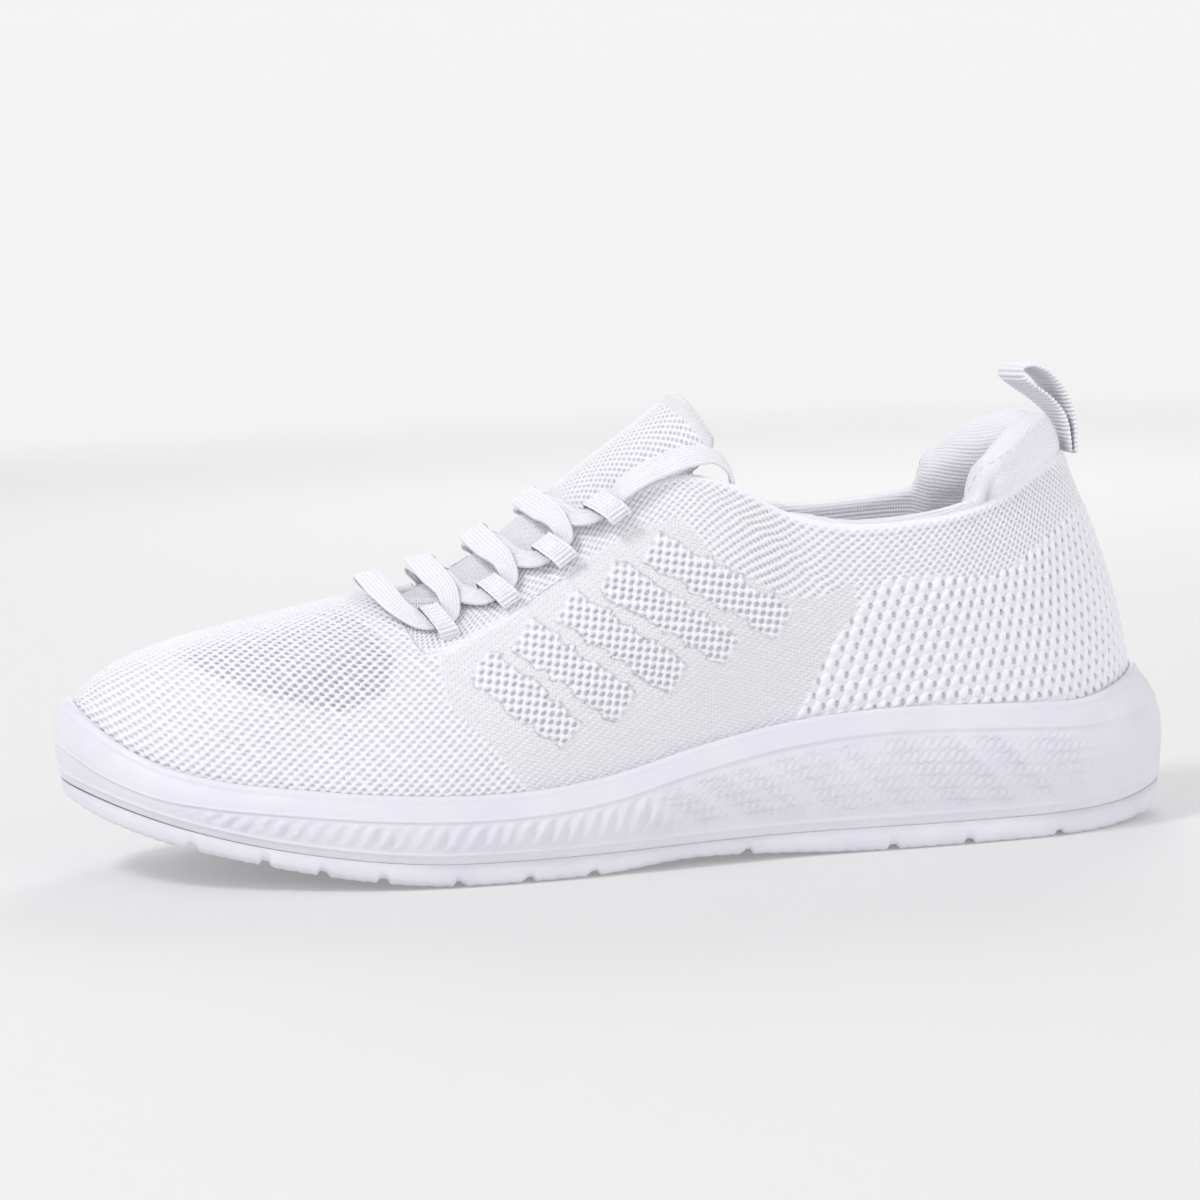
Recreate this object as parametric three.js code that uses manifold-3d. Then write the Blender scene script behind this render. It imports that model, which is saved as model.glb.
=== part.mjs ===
// A slip-on running shoe for the left foot: knitted upper, cup midsole, rubber outsole, elastic flat lace.
// Millimetres, +Z up. The toe points to -X, the outer (lateral) side of the foot to -Y.
// The origin is on the ground under the middle of the shoe.
import * as THREE from "three";
import { mergeVertices } from "three/addons/utils/BufferGeometryUtils.js";
import Module from "manifold-3d";

const wasm = await Module();
wasm.setup();

// ---------------------------------------------------------------- driving dimensions

const LENGTH = 302; // toe tip to heel end
const FOREFOOT_WIDTH = 104; // across the ball of the foot
const WAIST_WIDTH = 79; // under the arch
const HEEL_WIDTH = 77; // across the heel
const TOPLINE_HEIGHT = 85.3; // lowest place of the collar, above the ground
const THROAT_HALF_WIDTH = 23.5; // middle line to the throat's edge, halfway up the throat

const GAP = 0.3; // between neighbours
const KNIT = 2.0; // thickness of the knitted upper
const STIFFENER = 1.2; // heel counter
const PUFF = 0.8; // toe puff and eyestay tape
const LINING = 1.0;
const LINING_DEPTH = KNIT + STIFFENER + 2 * GAP; // from the knit's outer face, over the heel counter
const BOARD = 1.5; // strobel board under the foot
const SOCK_FOAM = 4.5;
const SOCK_CLOTH = 0.8;
const SOCK_CLEARANCE = 1.2; // sockliner to the wall round it

const RIM_WALL = 2.9; // midsole wall round the foot, at its top
const OUTSOLE_SETBACK = 2.6; // rubber in from the widest line of the midsole
const OUTSOLE_TAPER = 0.6; // its foot in from its top
const LUG_DEPTH = 2.6; // tread grooves
const GROOVE = 2.2; // width of a tread groove

const TONGUE = 3.0;
const TONGUE_SPLIT = 0.66; // share of the tongue's length where the free tab starts
const TAB_GAP = 1.4; // room between tongue and tab, for the tab's tilt

const LACE_WIDTH = 7.5;
const LACE_WIDTH_IN_BAND = 5.0;
const LACE_WIDTH_TURNING = 5.6; // beside a band
const LACE = 1.3; // thickness
const LACE_OVER = 2.3; // height of an upper strand's underside at a crossing
const LACE_UNDER = 0.5; // height of a lower strand's underside
const BAND_EXIT = 3.4; // from a seat to where the lace leaves its band
const BAR_AHEAD = 6.1; // the front bar lies this far towards the toe from the first seats
const BAND_LENGTH = 5.0; // knitted lace band, along the eyestay
const BAND = 0.8;

const LOOP_WIDTH = 12; // webbing pull loop
const WEBBING = 1.2;
const LOOP_FREE = 0.73; // share of the loop's length that swings; the rest is sewn down at the back
const LOOP_ROOM = 1.8; // between the swinging and the sewn stretch

const AROUND = 80; // stations around the shoe, even
const UP = 14; // rows from the sole to the collar

// Inner pieces of the upper: degrees round from the toe, and rows of that grid.
const PUFF_SPAN = [-45, 45];
const PUFF_TOP_ROW = 5;
const COUNTER_SPAN = [122, 238];
const TAPE_SPAN = [63, 94.5];
const TAPE_ROWS = [11, 13];

// The curves below are drawn for a shoe of these sizes, and stretch with the driving dimensions.
const DRAWN = { length: 302, forefoot: 104, waist: 79, heel: 77, topline: 85.3, throat: 23.5 };
const alongX = LENGTH / DRAWN.length;
const wideFront = FOREFOOT_WIDTH / DRAWN.forefoot;
const wideWaist = WAIST_WIDTH / DRAWN.waist;
const wideHeel = HEEL_WIDTH / DRAWN.heel;
const tall = TOPLINE_HEIGHT / DRAWN.topline;
const throatWide = THROAT_HALF_WIDTH / DRAWN.throat;

// ---------------------------------------------------------------- curves of the last and the sole

// Reach of the sole from its middle line, by place along the shoe.
const LATERAL_REACH = [
  [-151, 47 * wideFront], [-118, 60 * wideFront], [-73, 59 * wideFront], [-38, 54.6 * wideFront],
  [2, 47.5 * wideWaist], [42, 42.8 * wideWaist], [82, 46 * wideHeel], [122, 50.7 * wideHeel],
  [151, 47 * wideHeel],
];
const MEDIAL_REACH = [
  [-151, 47 * wideFront], [-118, 54 * wideFront], [-78, 56 * wideFront], [-43, 51.5 * wideFront],
  [2, 41.5 * wideWaist], [42, 38 * wideWaist], [82, 42 * wideHeel], [122, 49 * wideHeel],
  [151, 47 * wideHeel],
];
const MIDDLE_LINE = [[-151, 9], [-108, 6], [-58, 1.4], [2, 0], [151, 0]];
const END_ROUNDNESS = 0.82; // 1 is an ellipse, less is blunter

// Heights above the ground, by place along the shoe.
const GROUND_LINE = [
  [-151, 23], [-139, 17], [-129, 13.6], [-115, 10], [-102, 7.2], [-89, 4.6], [-74, 2.2], [-60, 0.6],
  [-48, 0], [-20, 0], [12, 2.3], [30, 1.6], [52, 0.3], [62, 0], [118, 0], [134, 1], [144, 2.8], [151, 5.2],
];
const SEAM_LINE = [
  [-151, 26.5], [-135, 20.9], [-118, 16], [-102, 12.3], [-83, 9.2], [-51, 6.4], [-20, 6.2],
  [22, 6.8], [102, 6.6], [132, 7.4], [151, 10.8],
];
const RIM_LINE = [
  [-151, 46.6], [-139, 37.8], [-129, 32.8], [-115, 29], [-90, 25.9], [-65, 23.8], [-43, 23],
  [-13, 25.1], [14, 31.2], [41, 35.7], [69, 37.3], [97, 36.4], [121, 35.4], [134, 37], [151, 42],
];
const FOAM_UNDER_FOOT = [[-151, 7], [-118, 7.4], [-51, 7.6], [2, 11.5], [62, 15.2], [102, 17.4], [151, 17.4]];

// Setback of the rim's top edge from the widest line, by degrees round the shoe from the toe.
const RIM_SETBACK = [[0, 1.6], [40, 2.4], [90, 3], [140, 4.4], [180, 6.8]];
// Midsole wall from the seam to the rim: share of its height, setback, share of the rim's setback.
const WALL_PROFILE = [
  [0, 2.6, 0], [0.14, 1.1, 0], [0.36, 0.1, 0], [0.58, 0, 0.05], [0.78, 0, 0.35], [0.92, 0, 0.72], [1, 0, 1],
];

// Tread grooves: places along the shoe of the ones across it, and middles of the lengthwise ones.
const CROSS_GROOVES = [-118, -100, -86, -71, -52, -34, -17, 25, 65, 86, 112];
const LENGTHWISE_GROOVES = [[-76, 22], [-76, -20], [78, 16], [78, -16]];
const LENGTHWISE_GROOVE_LENGTH = 62;

// Upper edge of the knit: degrees round from the toe, place along, distance from the middle, height.
const KNIT_EDGE = [
  [0, -62, 0, 73.5], [25, -60.5, 8.5, 72.6], [45, -56.5, 15, 70.8], [60, -48, 20, 71.5],
  [72, -34, 23.5, 77], [80, -18, 25.5, 86], [88, -2, 28, 96], [95, 14, 31, 100.5],
  [101, 27, 33.5, 97], [107, 40, 34.5, 89.5], [115, 60, 34.5, 85.3], [124, 80, 33.5, 86.5],
  [136, 98, 29.5, 90.5], [150, 111, 22, 96.5], [165, 121, 11.5, 100], [180, 125, 0, 100.5],
];
// How the wall leaves the sole (out, up) and how it reaches its edge (out, down).
const WALL_HANDLES = [
  [0, 5, 27, 50, 12], [30, 4.5, 23, 40, 12], [50, 3, 19, 24, 10], [65, 2.5, 20, 16, 9],
  [80, 2, 24, 12, 12], [95, 1, 27, 8, 16], [110, 0, 24, 3, 18], [130, 0, 22, 2, 18],
  [155, 2.5, 22, 4, 17], [180, 4, 22, 6, 16],
];

// Padded collar: degrees round from the toe, height above the knit's edge, foam thickness.
const COLLAR = [
  [100, 1.8, 1.6], [126, 1.8, 2.2], [132, 5, 4.5], [138, 9.5, 6.2], [150, 12.2, 7.2],
  [165, 11.6, 6.6], [180, 8.6, 4.4],
];

// Tongue: place along the middle, height there, then the flank's place along, reach and height.
const TONGUE_LINE = [
  [0, -69, 67.4, -69, 20, 61], [0.12, -58, 70.4, -56, 24, 60.5], [0.24, -47, 75.2, -44, 26, 61.5],
  [0.38, -36, 82, -31, 26.8, 67], [0.52, -23, 91.8, -18, 27.2, 76.5], [0.66, -10, 101.8, -5, 27, 87],
  [0.8, 2, 110.2, 8, 25.6, 96.4], [0.92, 11, 116.5, 17.5, 25, 102], [1, 16.5, 121, 25, 24.5, 106.5],
];

// Seats of the four lace bands on each side of the throat: place along, reach, height.
const BAND_SEATS = [[-52.5, 28, 66.2], [-36.5, 28, 73], [-21.5, 28.4, 82.8], [-7.5, 29.5, 93.2]];
const SEAT_LINE = [[-73, 25, 66.5], [-60, 27.4, 65.4], ...BAND_SEATS, [6, 30, 102]];
// Line that the strands cross over the middle: place along and height.
const LACE_CREST = [
  [-90, 70.5], [-76, 73.6], [-68, 75], [-58, 76.2], [-47, 78.4], [-36, 84.4], [-23, 92.6], [-10, 102.6], [2, 111],
];
const CREST_AHEAD = 8; // the middle of a strand lies this far towards the toe from its seats
// Arch of a band from the eyestay to the throat's edge: share across and depth below its top.
const BAND_SIDE = 1.2; // past this share across, the arch lies down on the knit
const BAND_ARCH = [[1.27, 1.5], [1.22, 1.1], [1.15, 0.3], [1.0, 0], [0.9, 0.2], [0.85, 0.9], [0.81, 1.5]];

// Pull loop, from its sewn front end over the top to its sewn back end: place along and height.
const LOOP_LINE = [
  [117.6, 112.1], [115.8, 114.2], [113, 117.6], [110.6, 121.4], [111.6, 123.8], [115.6, 124.6],
  [119.4, 122.4], [122.8, 116.4], [125.2, 110], [126.4, 105], [127.2, 100], [128.8, 94.5],
];

// ---------------------------------------------------------------- curve helpers

// A smooth curve through points [x, value, ...]; level at both ends when even is true.
function through(points, x, column = 1, even = false) {
  const last = points.length - 1;
  const clamped = Math.min(Math.max(x, points[0][0]), points[last][0]);
  let i = 0;
  while (i < last - 1 && clamped > points[i + 1][0]) i += 1;
  const slopeOf = (a) => (points[a + 1][column] - points[a][column]) / (points[a + 1][0] - points[a][0]);
  const tangentAt = (a) => {
    if (a === 0) return even ? 0 : slopeOf(0);
    if (a === last) return even ? 0 : slopeOf(last - 1);
    const [behind, ahead] = [slopeOf(a - 1), slopeOf(a)];
    if (behind * ahead <= 0) return 0;
    const before = points[a][0] - points[a - 1][0];
    const after = points[a + 1][0] - points[a][0];
    const mean = (behind * after + ahead * before) / (before + after);
    const most = 3 * Math.min(Math.abs(behind), Math.abs(ahead));
    return Math.sign(mean) * Math.min(Math.abs(mean), most);
  };
  const span = points[i + 1][0] - points[i][0];
  const t = (clamped - points[i][0]) / span;
  const h01 = t * t * (3 - 2 * t);
  const h10 = t * (1 - t) * (1 - t);
  const h11 = t * t * (t - 1);
  const ends = points[i][column] * (1 - h01) + points[i + 1][column] * h01;
  return ends + span * (h10 * tangentAt(i) + h11 * tangentAt(i + 1));
}

// The same, by place along the shoe in real millimetres.
function along(points, x) {
  return through(points, x / alongX);
}

const half = LENGTH / 2;
const rad = (degrees) => (degrees * Math.PI) / 180;
const columnAt = (degrees) => Math.round((degrees / 360) * AROUND);
const fold = (degrees) => (degrees <= 180 ? degrees : 360 - degrees);
const sideOf = (degrees) => (degrees <= 180 ? -1 : 1);

// The widest line of the sole at an angle round from the toe.
function soleLine(degrees) {
  const x = -half * Math.cos(rad(degrees));
  const reach = along(degrees <= 180 ? LATERAL_REACH : MEDIAL_REACH, x);
  const round = Math.abs(Math.sin(rad(degrees))) ** END_ROUNDNESS;
  return new THREE.Vector2(x, along(MIDDLE_LINE, x) + sideOf(degrees) * reach * round);
}

// The level direction pointing out of the shoe at that angle.
function outwards(degrees) {
  const step = 2;
  const turn = (d) => (d + 360) % 360;
  const ahead = soleLine(turn(degrees + step)).sub(soleLine(turn(degrees - step))).normalize();
  return new THREE.Vector2(-ahead.y, ahead.x).negate();
}

// The sole's line moved in by a setback, at a height.
function setIn(degrees, setback, height) {
  const p = soleLine(degrees).addScaledVector(outwards(degrees), -setback);
  return new THREE.Vector3(p.x, p.y, height);
}

const bedHeight = (x) => along(SEAM_LINE, x) + along(FOAM_UNDER_FOOT, x);
const rimSetback = (degrees) => through(RIM_SETBACK, fold(degrees), 1, true);

// The knit's edge at an angle.
function knitEdge(degrees) {
  const d = fold(degrees);
  const x = through(KNIT_EDGE, d, 1, true) * alongX;
  const y = through(KNIT_EDGE, d, 2) * throatWide * sideOf(degrees);
  const base = along(RIM_LINE, x);
  const drawn = through(KNIT_EDGE, d, 3, true);
  return new THREE.Vector3(x, y, base + (drawn - base) * tall);
}

// Outer face of the knitted upper: v runs from 0 at the sole to 1 at the collar.
function knitPoint(degrees, v) {
  const d = fold(degrees);
  const handle = (column) => through(WALL_HANDLES, d, column, true);
  const out = outwards(degrees);
  const foot = setIn(degrees, rimSetback(degrees) + RIM_WALL + GAP, 0);
  foot.z = bedHeight(soleLine(degrees).x) + 2 * GAP;
  const leaving = foot.clone().add(new THREE.Vector3(out.x * handle(1), out.y * handle(1), handle(2) * tall));
  const edge = knitEdge(degrees);
  const reaching = edge.clone();
  reaching.add(new THREE.Vector3(out.x * handle(3), out.y * handle(3), -handle(4) * tall));
  return new THREE.CubicBezierCurve3(foot, leaving, reaching, edge).getPoint(v);
}

// ---------------------------------------------------------------- solids from grids of points

// Triangles of a grid [row][column], each row closed on itself when wrapped.
function gridFaces(rows, columns, first, wrapped, faces) {
  const at = (r, c) => first + r * columns + (c % columns);
  for (let r = 0; r < rows - 1; r += 1) {
    for (let c = 0; c < (wrapped ? columns : columns - 1); c += 1) {
      faces.push(at(r, c), at(r + 1, c), at(r + 1, c + 1));
      faces.push(at(r, c), at(r + 1, c + 1), at(r, c + 1));
    }
  }
}

// A geometry from points and triangles, turned so that its faces point out.
function closedGeometry(points, faces) {
  const geometry = new THREE.BufferGeometry().setFromPoints(points);
  let volume = 0;
  for (let i = 0; i < faces.length; i += 3) {
    const [a, b, c] = [points[faces[i]], points[faces[i + 1]], points[faces[i + 2]]];
    volume += a.dot(b.clone().cross(c));
  }
  if (volume < 0) faces.reverse();
  geometry.setIndex(faces);
  geometry.computeVertexNormals();
  return geometry;
}

// Unit normals of a grid, one for each point.
function gridNormals(grid, wrapped) {
  const rows = grid.length;
  const columns = grid[0].length;
  return grid.map((row, r) => row.map((_, c) => {
    const up = grid[Math.min(r + 1, rows - 1)][c].clone().sub(grid[Math.max(r - 1, 0)][c]);
    const next = wrapped ? (c + 1) % columns : Math.min(c + 1, columns - 1);
    const before = wrapped ? (c - 1 + columns) % columns : Math.max(c - 1, 0);
    return row[next].clone().sub(row[before]).cross(up).normalize();
  }));
}

// A grid moved along its own normals.
function offset(grid, distance, wrapped = false) {
  const normals = gridNormals(grid, wrapped);
  return grid.map((row, r) => row.map((p, c) => p.clone().addScaledVector(normals[r][c], distance)));
}

// The solid between two grids of the same shape.
function between(outer, inner, wrapped = false) {
  const rows = outer.length;
  const columns = outer[0].length;
  const points = [...outer.flat(), ...inner.flat()];
  const faces = [];
  gridFaces(rows, columns, 0, wrapped, faces);
  const innerFaces = [];
  gridFaces(rows, columns, rows * columns, wrapped, innerFaces);
  faces.push(...innerFaces.reverse());
  const join = (a, b) => {
    const [c, d] = [a + rows * columns, b + rows * columns];
    faces.push(a, b, d, a, d, c);
  };
  for (let c = 0; c < (wrapped ? columns : columns - 1); c += 1) {
    const next = (c + 1) % columns;
    join(c, next);
    join((rows - 1) * columns + next, (rows - 1) * columns + c);
  }
  for (let r = 0; r < rows - 1 && !wrapped; r += 1) {
    join((r + 1) * columns, r * columns);
    join(r * columns + columns - 1, (r + 1) * columns + columns - 1);
  }
  return closedGeometry(points, faces);
}

// The solid inside a stack of rings, closed by rungs from the lateral to the medial side.
function stack(rings) {
  const count = rings[0].length;
  const faces = [];
  gridFaces(rings.length, count, 0, true, faces);
  const cap = (first, turned) => {
    const rung = [];
    for (let i = 0; i < count / 2; i += 1) {
      const [a, b, c, d] = [i, i + 1, count - i - 1, (count - i) % count];
      if (b !== c) rung.push(first + a, first + b, first + c);
      if (a !== d) rung.push(first + a, first + c, first + d);
    }
    faces.push(...(turned ? rung.reverse() : rung));
  };
  cap(0, false);
  cap((rings.length - 1) * count, true);
  return closedGeometry(rings.flat(), faces);
}

// A ring round the shoe from a function of the angle.
function ring(pointAt) {
  return Array.from({ length: AROUND }, (_, i) => pointAt((360 * i) / AROUND));
}

// ---------------------------------------------------------------- solids for manifold-3d

function toManifold(geometry) {
  const bare = geometry.clone();
  bare.deleteAttribute("normal");
  bare.deleteAttribute("uv");
  const merged = mergeVertices(bare, 1e-4);
  return new wasm.Manifold(new wasm.Mesh({
    numProp: 3,
    vertProperties: merged.attributes.position.array,
    triVerts: new Uint32Array(merged.index.array),
  }));
}

function fromManifold(solid) {
  const mesh = solid.getMesh();
  const geometry = new THREE.BufferGeometry();
  geometry.setAttribute("position", new THREE.BufferAttribute(mesh.vertProperties, 3));
  geometry.setIndex(new THREE.BufferAttribute(mesh.triVerts, 1));
  geometry.computeVertexNormals();
  return geometry;
}

// ---------------------------------------------------------------- sole

// Where the rim's top meets the knit: the share v of the wall that reaches the rim's height.
function rimShare(degrees) {
  const height = along(RIM_LINE, soleLine(degrees).x);
  let [low, high] = [0, 0.6];
  for (let i = 0; i < 24; i += 1) {
    const middle = (low + high) / 2;
    if (knitPoint(degrees, middle).z < height) low = middle;
    else high = middle;
  }
  return low;
}

// The cup's inner wall stands a gap outside the knit, up to the rim.
function cupWall(degrees, share) {
  const out = outwards(degrees);
  const p = knitPoint(degrees, rimShare(degrees) * share);
  return p.add(new THREE.Vector3(out.x * GAP, out.y * GAP, 0));
}

function midsole() {
  const wall = WALL_PROFILE.map(([share, setback, ofRim]) => ring((d) => {
    const x = soleLine(d).x;
    const seam = along(SEAM_LINE, x);
    const rim = along(RIM_LINE, x);
    return setIn(d, setback + ofRim * rimSetback(d), seam + (rim - seam) * share);
  }));
  const crown = ring((d) => {
    const outer = setIn(d, rimSetback(d), along(RIM_LINE, soleLine(d).x));
    return outer.lerp(cupWall(d, 1), 0.5).add(new THREE.Vector3(0, 0, GAP));
  });
  const cup = [1, 0.66, 0.33, 0].map((share) => ring((d) => cupWall(d, share)));
  const bed = ring((d) => {
    const p = cupWall(d, 0);
    p.z = bedHeight(soleLine(d).x);
    return p;
  });
  return stack([...wall, crown, ...cup, bed]);
}

// A tread groove: a box across or along the sole, sunk into its underside.
function groove(x, y, length, turn) {
  const box = new THREE.BoxGeometry(GROOVE, length, 2 * LUG_DEPTH);
  const step = 4;
  const rise = Math.atan2(along(GROUND_LINE, x + step) - along(GROUND_LINE, x - step), 2 * step);
  box.rotateZ(turn);
  box.rotateY(-rise);
  box.translate(x, y, along(GROUND_LINE, x));
  return toManifold(box);
}

function outsole() {
  const top = ring((d) => setIn(d, OUTSOLE_SETBACK, along(SEAM_LINE, soleLine(d).x) - GAP));
  const foot = ring((d) => setIn(d, OUTSOLE_SETBACK + OUTSOLE_TAPER, along(GROUND_LINE, soleLine(d).x)));
  let sole = toManifold(stack([foot, top]));
  for (const x of CROSS_GROOVES) {
    sole = sole.subtract(groove(x * alongX, 0, 2 * FOREFOOT_WIDTH, 0));
  }
  for (const [x, y] of LENGTHWISE_GROOVES) {
    sole = sole.subtract(groove(x * alongX, y, LENGTHWISE_GROOVE_LENGTH * alongX, Math.PI / 2));
  }
  return fromManifold(sole);
}

// Setback of the inner face of the wall at foot level, where the boards under the foot end.
const wallInside = (degrees, depth) => rimSetback(degrees) + RIM_WALL + GAP + depth;

function footPlate(depth, low, high) {
  const level = (height) => ring((d) => setIn(d, wallInside(d, depth), bedHeight(soleLine(d).x) + height));
  return stack([level(low), level(high)]);
}

const BOARD_TOP = GAP + BOARD;
const SOCK_LOW = BOARD_TOP + GAP;
const SOCK_DEPTH = LINING_DEPTH + LINING + SOCK_CLEARANCE;

// ---------------------------------------------------------------- upper

const knitOuter = Array.from({ length: UP + 1 }, (_, r) => ring((d) => knitPoint(d, r / UP)));
const knitFacing = gridNormals(knitOuter, true);
if (knitFacing[1][AROUND / 4].y > 0) knitFacing.flat().forEach((n) => n.negate());

// A layer of the wall: rows and columns of the shared grid, from one depth to a deeper one.
function layer(fromRow, toRow, fromColumn, toColumn, depth, thickness) {
  const pick = (sunk) => {
    const grid = [];
    for (let r = fromRow; r <= toRow; r += 1) {
      const row = [];
      for (let c = fromColumn; c <= toColumn; c += 1) {
        const at = (c + AROUND) % AROUND;
        row.push(knitOuter[r][at].clone().addScaledVector(knitFacing[r][at], -sunk));
      }
      grid.push(row);
    }
    return grid;
  };
  return between(pick(depth), pick(depth + thickness));
}

function knitUpper() {
  const inner = knitOuter.map((row, r) => row.map((p, c) => p.clone().addScaledVector(knitFacing[r][c], -KNIT)));
  return between(knitOuter, inner, true);
}


// ---------------------------------------------------------------- padded collar

const PAD_ROW = 10; // the collar's padding starts above this row
const OUTER_WRAP_ROWS = 3; // rows of the lining outside the foam
const FOAM_REACH = 0.94; // the foam's flat side ends this far up the knit above that row
const LINING_FROM = columnAt(103.5);
const LINING_TO = AROUND - LINING_FROM;
const PAD_SPAN = [135, 175.5]; // ends of the lateral pad, degrees round from the toe

// The lining's way over the pad, from its full depth on the foot's side to the knit's outer face:
// share of the collar's rise, and share of the pad's depth (less than 0 is outside the lining line).
const COLLAR_ROLL = [
  [0, 1], [0.5, 0.98], [0.82, 0.7], [1, 0.3], [0.98, 0], [0.84, -0.12], [0.5, -0.16], [0, -0.14],
];
const OUTER_ROLL = 4; // those shares below 0 count this many times the knit's thickness

// The lining's padded-side line at a column: from near the sole, up the inside and over the top.
function liningLine(column) {
  const degrees = (360 * column) / AROUND;
  const rise = through(COLLAR, fold(degrees), 1, true);
  const foam = through(COLLAR, fold(degrees), 2, true);
  const edge = knitOuter[UP][column];
  const normal = knitFacing[UP][column];
  const upward = edge.clone().sub(knitOuter[UP - 1][column]).normalize();
  const points = [];
  for (let r = 1; r <= PAD_ROW; r += 1) {
    points.push(knitOuter[r][column].clone().addScaledVector(knitFacing[r][column], -LINING_DEPTH));
  }
  for (const share of [0.35, 0.75]) {
    const v = (PAD_ROW + share * (UP - PAD_ROW)) / UP;
    const sunk = LINING_DEPTH + foam * share;
    points.push(knitPoint(degrees, v).addScaledVector(normal, -sunk));
  }
  for (const [up, inwards] of COLLAR_ROLL) {
    const inside = KNIT + (LINING_DEPTH - KNIT + foam) * inwards;
    const sunk = inwards >= 0 ? inside : KNIT * (1 + inwards * OUTER_ROLL);
    points.push(edge.clone().addScaledVector(upward, LINING + rise * up).addScaledVector(normal, -sunk));
  }
  return points;
}

// Grid of the lining's padded side, rows from the sole to the wrapped edge.
function liningGrid(from, to, firstRow = 0) {
  const lines = [];
  for (let c = from; c <= to; c += 1) lines.push(liningLine(c).slice(firstRow));
  return lines[0].map((_, r) => lines.map((line) => line[r]));
}

// The lining lies on the foot's side of that grid.
function quarterLining() {
  const grid = liningGrid(LINING_FROM, LINING_TO);
  return between(grid, offset(grid, footSide * LINING));
}

function collarFoam(from, to) {
  const padded = offset(liningGrid(from, to, PAD_ROW - 1), -footSide * GAP).slice(0, -OUTER_WRAP_ROWS);
  const rows = padded.length;
  const against = padded.map((_, r) => {
    const row = PAD_ROW + (UP - PAD_ROW) * (r / (rows - 1)) * FOAM_REACH;
    const line = [];
    for (let c = from; c <= to; c += 1) {
      const p = knitPoint((360 * c) / AROUND, row / UP);
      line.push(p.addScaledVector(knitFacing[Math.round(row)][c], -(KNIT + 2 * GAP)));
    }
    return line;
  });
  return between(padded, against);
}

// +1 or -1: the way to the foot along the lining grid's own normals.
const footSide = (() => {
  const grid = liningGrid(LINING_FROM, LINING_TO);
  const middle = Math.floor(grid[0].length / 2);
  return gridNormals(grid, false)[2][middle].x < 0 ? 1 : -1;
})();

// ---------------------------------------------------------------- tongue

// A point of the tongue's upper face: t along it, q from -1 (lateral flank) to 1 (medial flank).
// Each section is the arc through the middle point and both flanks.
function tonguePoint(t, q) {
  const value = (column) => through(TONGUE_LINE, t, column);
  const middle = new THREE.Vector3(value(1) * alongX, 0, lift(value(1), value(2)));
  const flank = new THREE.Vector3(value(3) * alongX, 0, lift(value(3), value(5)));
  const reach = value(4) * throatWide;
  const sag = flank.clone().sub(middle);
  const drop = sag.length();
  const radius = (reach * reach + drop * drop) / (2 * drop);
  const opening = Math.asin(Math.min(1, reach / radius));
  const angle = q * opening;
  const p = middle.addScaledVector(sag.normalize(), radius * (1 - Math.cos(angle)));
  p.y = radius * Math.sin(angle);
  return p;
}

// Length of the tongue down its middle line.
function tongueLength() {
  const steps = 40;
  let length = 0;
  for (let k = 0; k < steps; k += 1) {
    length += tonguePoint(k / steps, 0).distanceTo(tonguePoint((k + 1) / steps, 0));
  }
  return length;
}

// A drawn height of the upper, stretched with the collar's height.
function lift(x, height) {
  const base = through(RIM_LINE, x);
  return base + (height - base) * tall;
}

function tonguePiece(from, to, stations) {
  const grid = Array.from({ length: stations + 1 }, (_, r) => {
    const t = from + ((to - from) * r) / stations;
    return Array.from({ length: 13 }, (_, c) => tonguePoint(t, c / 6 - 1));
  });
  const normals = gridNormals(grid, false);
  const turned = normals[0][6].z > 0 ? -1 : 1;
  return between(grid, offset(grid, turned * TONGUE));
}

// ---------------------------------------------------------------- lace and its bands

// The surface that the lace lies on: arcs over the throat through the seats of the bands.
// s is the seat's place along (drawn), q runs from -1 to 1 at the seats.
function throatPoint(s, q) {
  const seat = through(SEAT_LINE, s, 1);
  const seatHeight = lift(s, through(SEAT_LINE, s, 2));
  const crestX = s - CREST_AHEAD;
  const crown = new THREE.Vector3(crestX * alongX, 0, lift(crestX, through(LACE_CREST, crestX)));
  const flank = new THREE.Vector3(s * alongX, 0, seatHeight);
  const sag = flank.clone().sub(crown);
  const drop = sag.length();
  const reach = seat * throatWide;
  const radius = (reach * reach + drop * drop) / (2 * drop);
  const angle = q * Math.asin(Math.min(1, reach / radius));
  const p = crown.addScaledVector(sag.normalize(), radius * (1 - Math.cos(angle)));
  p.y = radius * Math.sin(angle);
  return p;
}

// Direction out of the shoe at a place of the throat.
function throatNormal(s, q) {
  const step = 0.5;
  const ahead = throatPoint(s + step, q).sub(throatPoint(s - step, q));
  const across = throatPoint(s, q + 0.02).sub(throatPoint(s, q - 0.02));
  const normal = ahead.cross(across).normalize();
  return normal.z < 0 ? normal.negate() : normal;
}

// Places and normals of the knit's outer face beside the throat, close together.
const besideThroat = [];
for (let degrees = 40; degrees <= 320; degrees += 1) {
  if (degrees > 110 && degrees < 250) continue;
  for (let v = 0.6; v <= 1; v += 0.025) {
    const place = knitPoint(degrees, v);
    const next = knitPoint(degrees + 0.5, v).sub(place);
    const normal = knitPoint(degrees, v - 0.01).sub(place).cross(next).normalize();
    const out = outwards(degrees);
    if (normal.x * out.x + normal.y * out.y < 0) normal.negate();
    besideThroat.push({ place, normal });
  }
}

// A point beside the throat, moved out if need be until it clears the knit by a distance.
function clearOfKnit(point, distance) {
  let nearest = besideThroat[0];
  for (const candidate of besideThroat) {
    if (candidate.place.distanceToSquared(point) < nearest.place.distanceToSquared(point)) nearest = candidate;
  }
  const height = point.clone().sub(nearest.place).dot(nearest.normal);
  return height < distance ? point.addScaledVector(nearest.normal, distance - height) : point;
}

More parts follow.
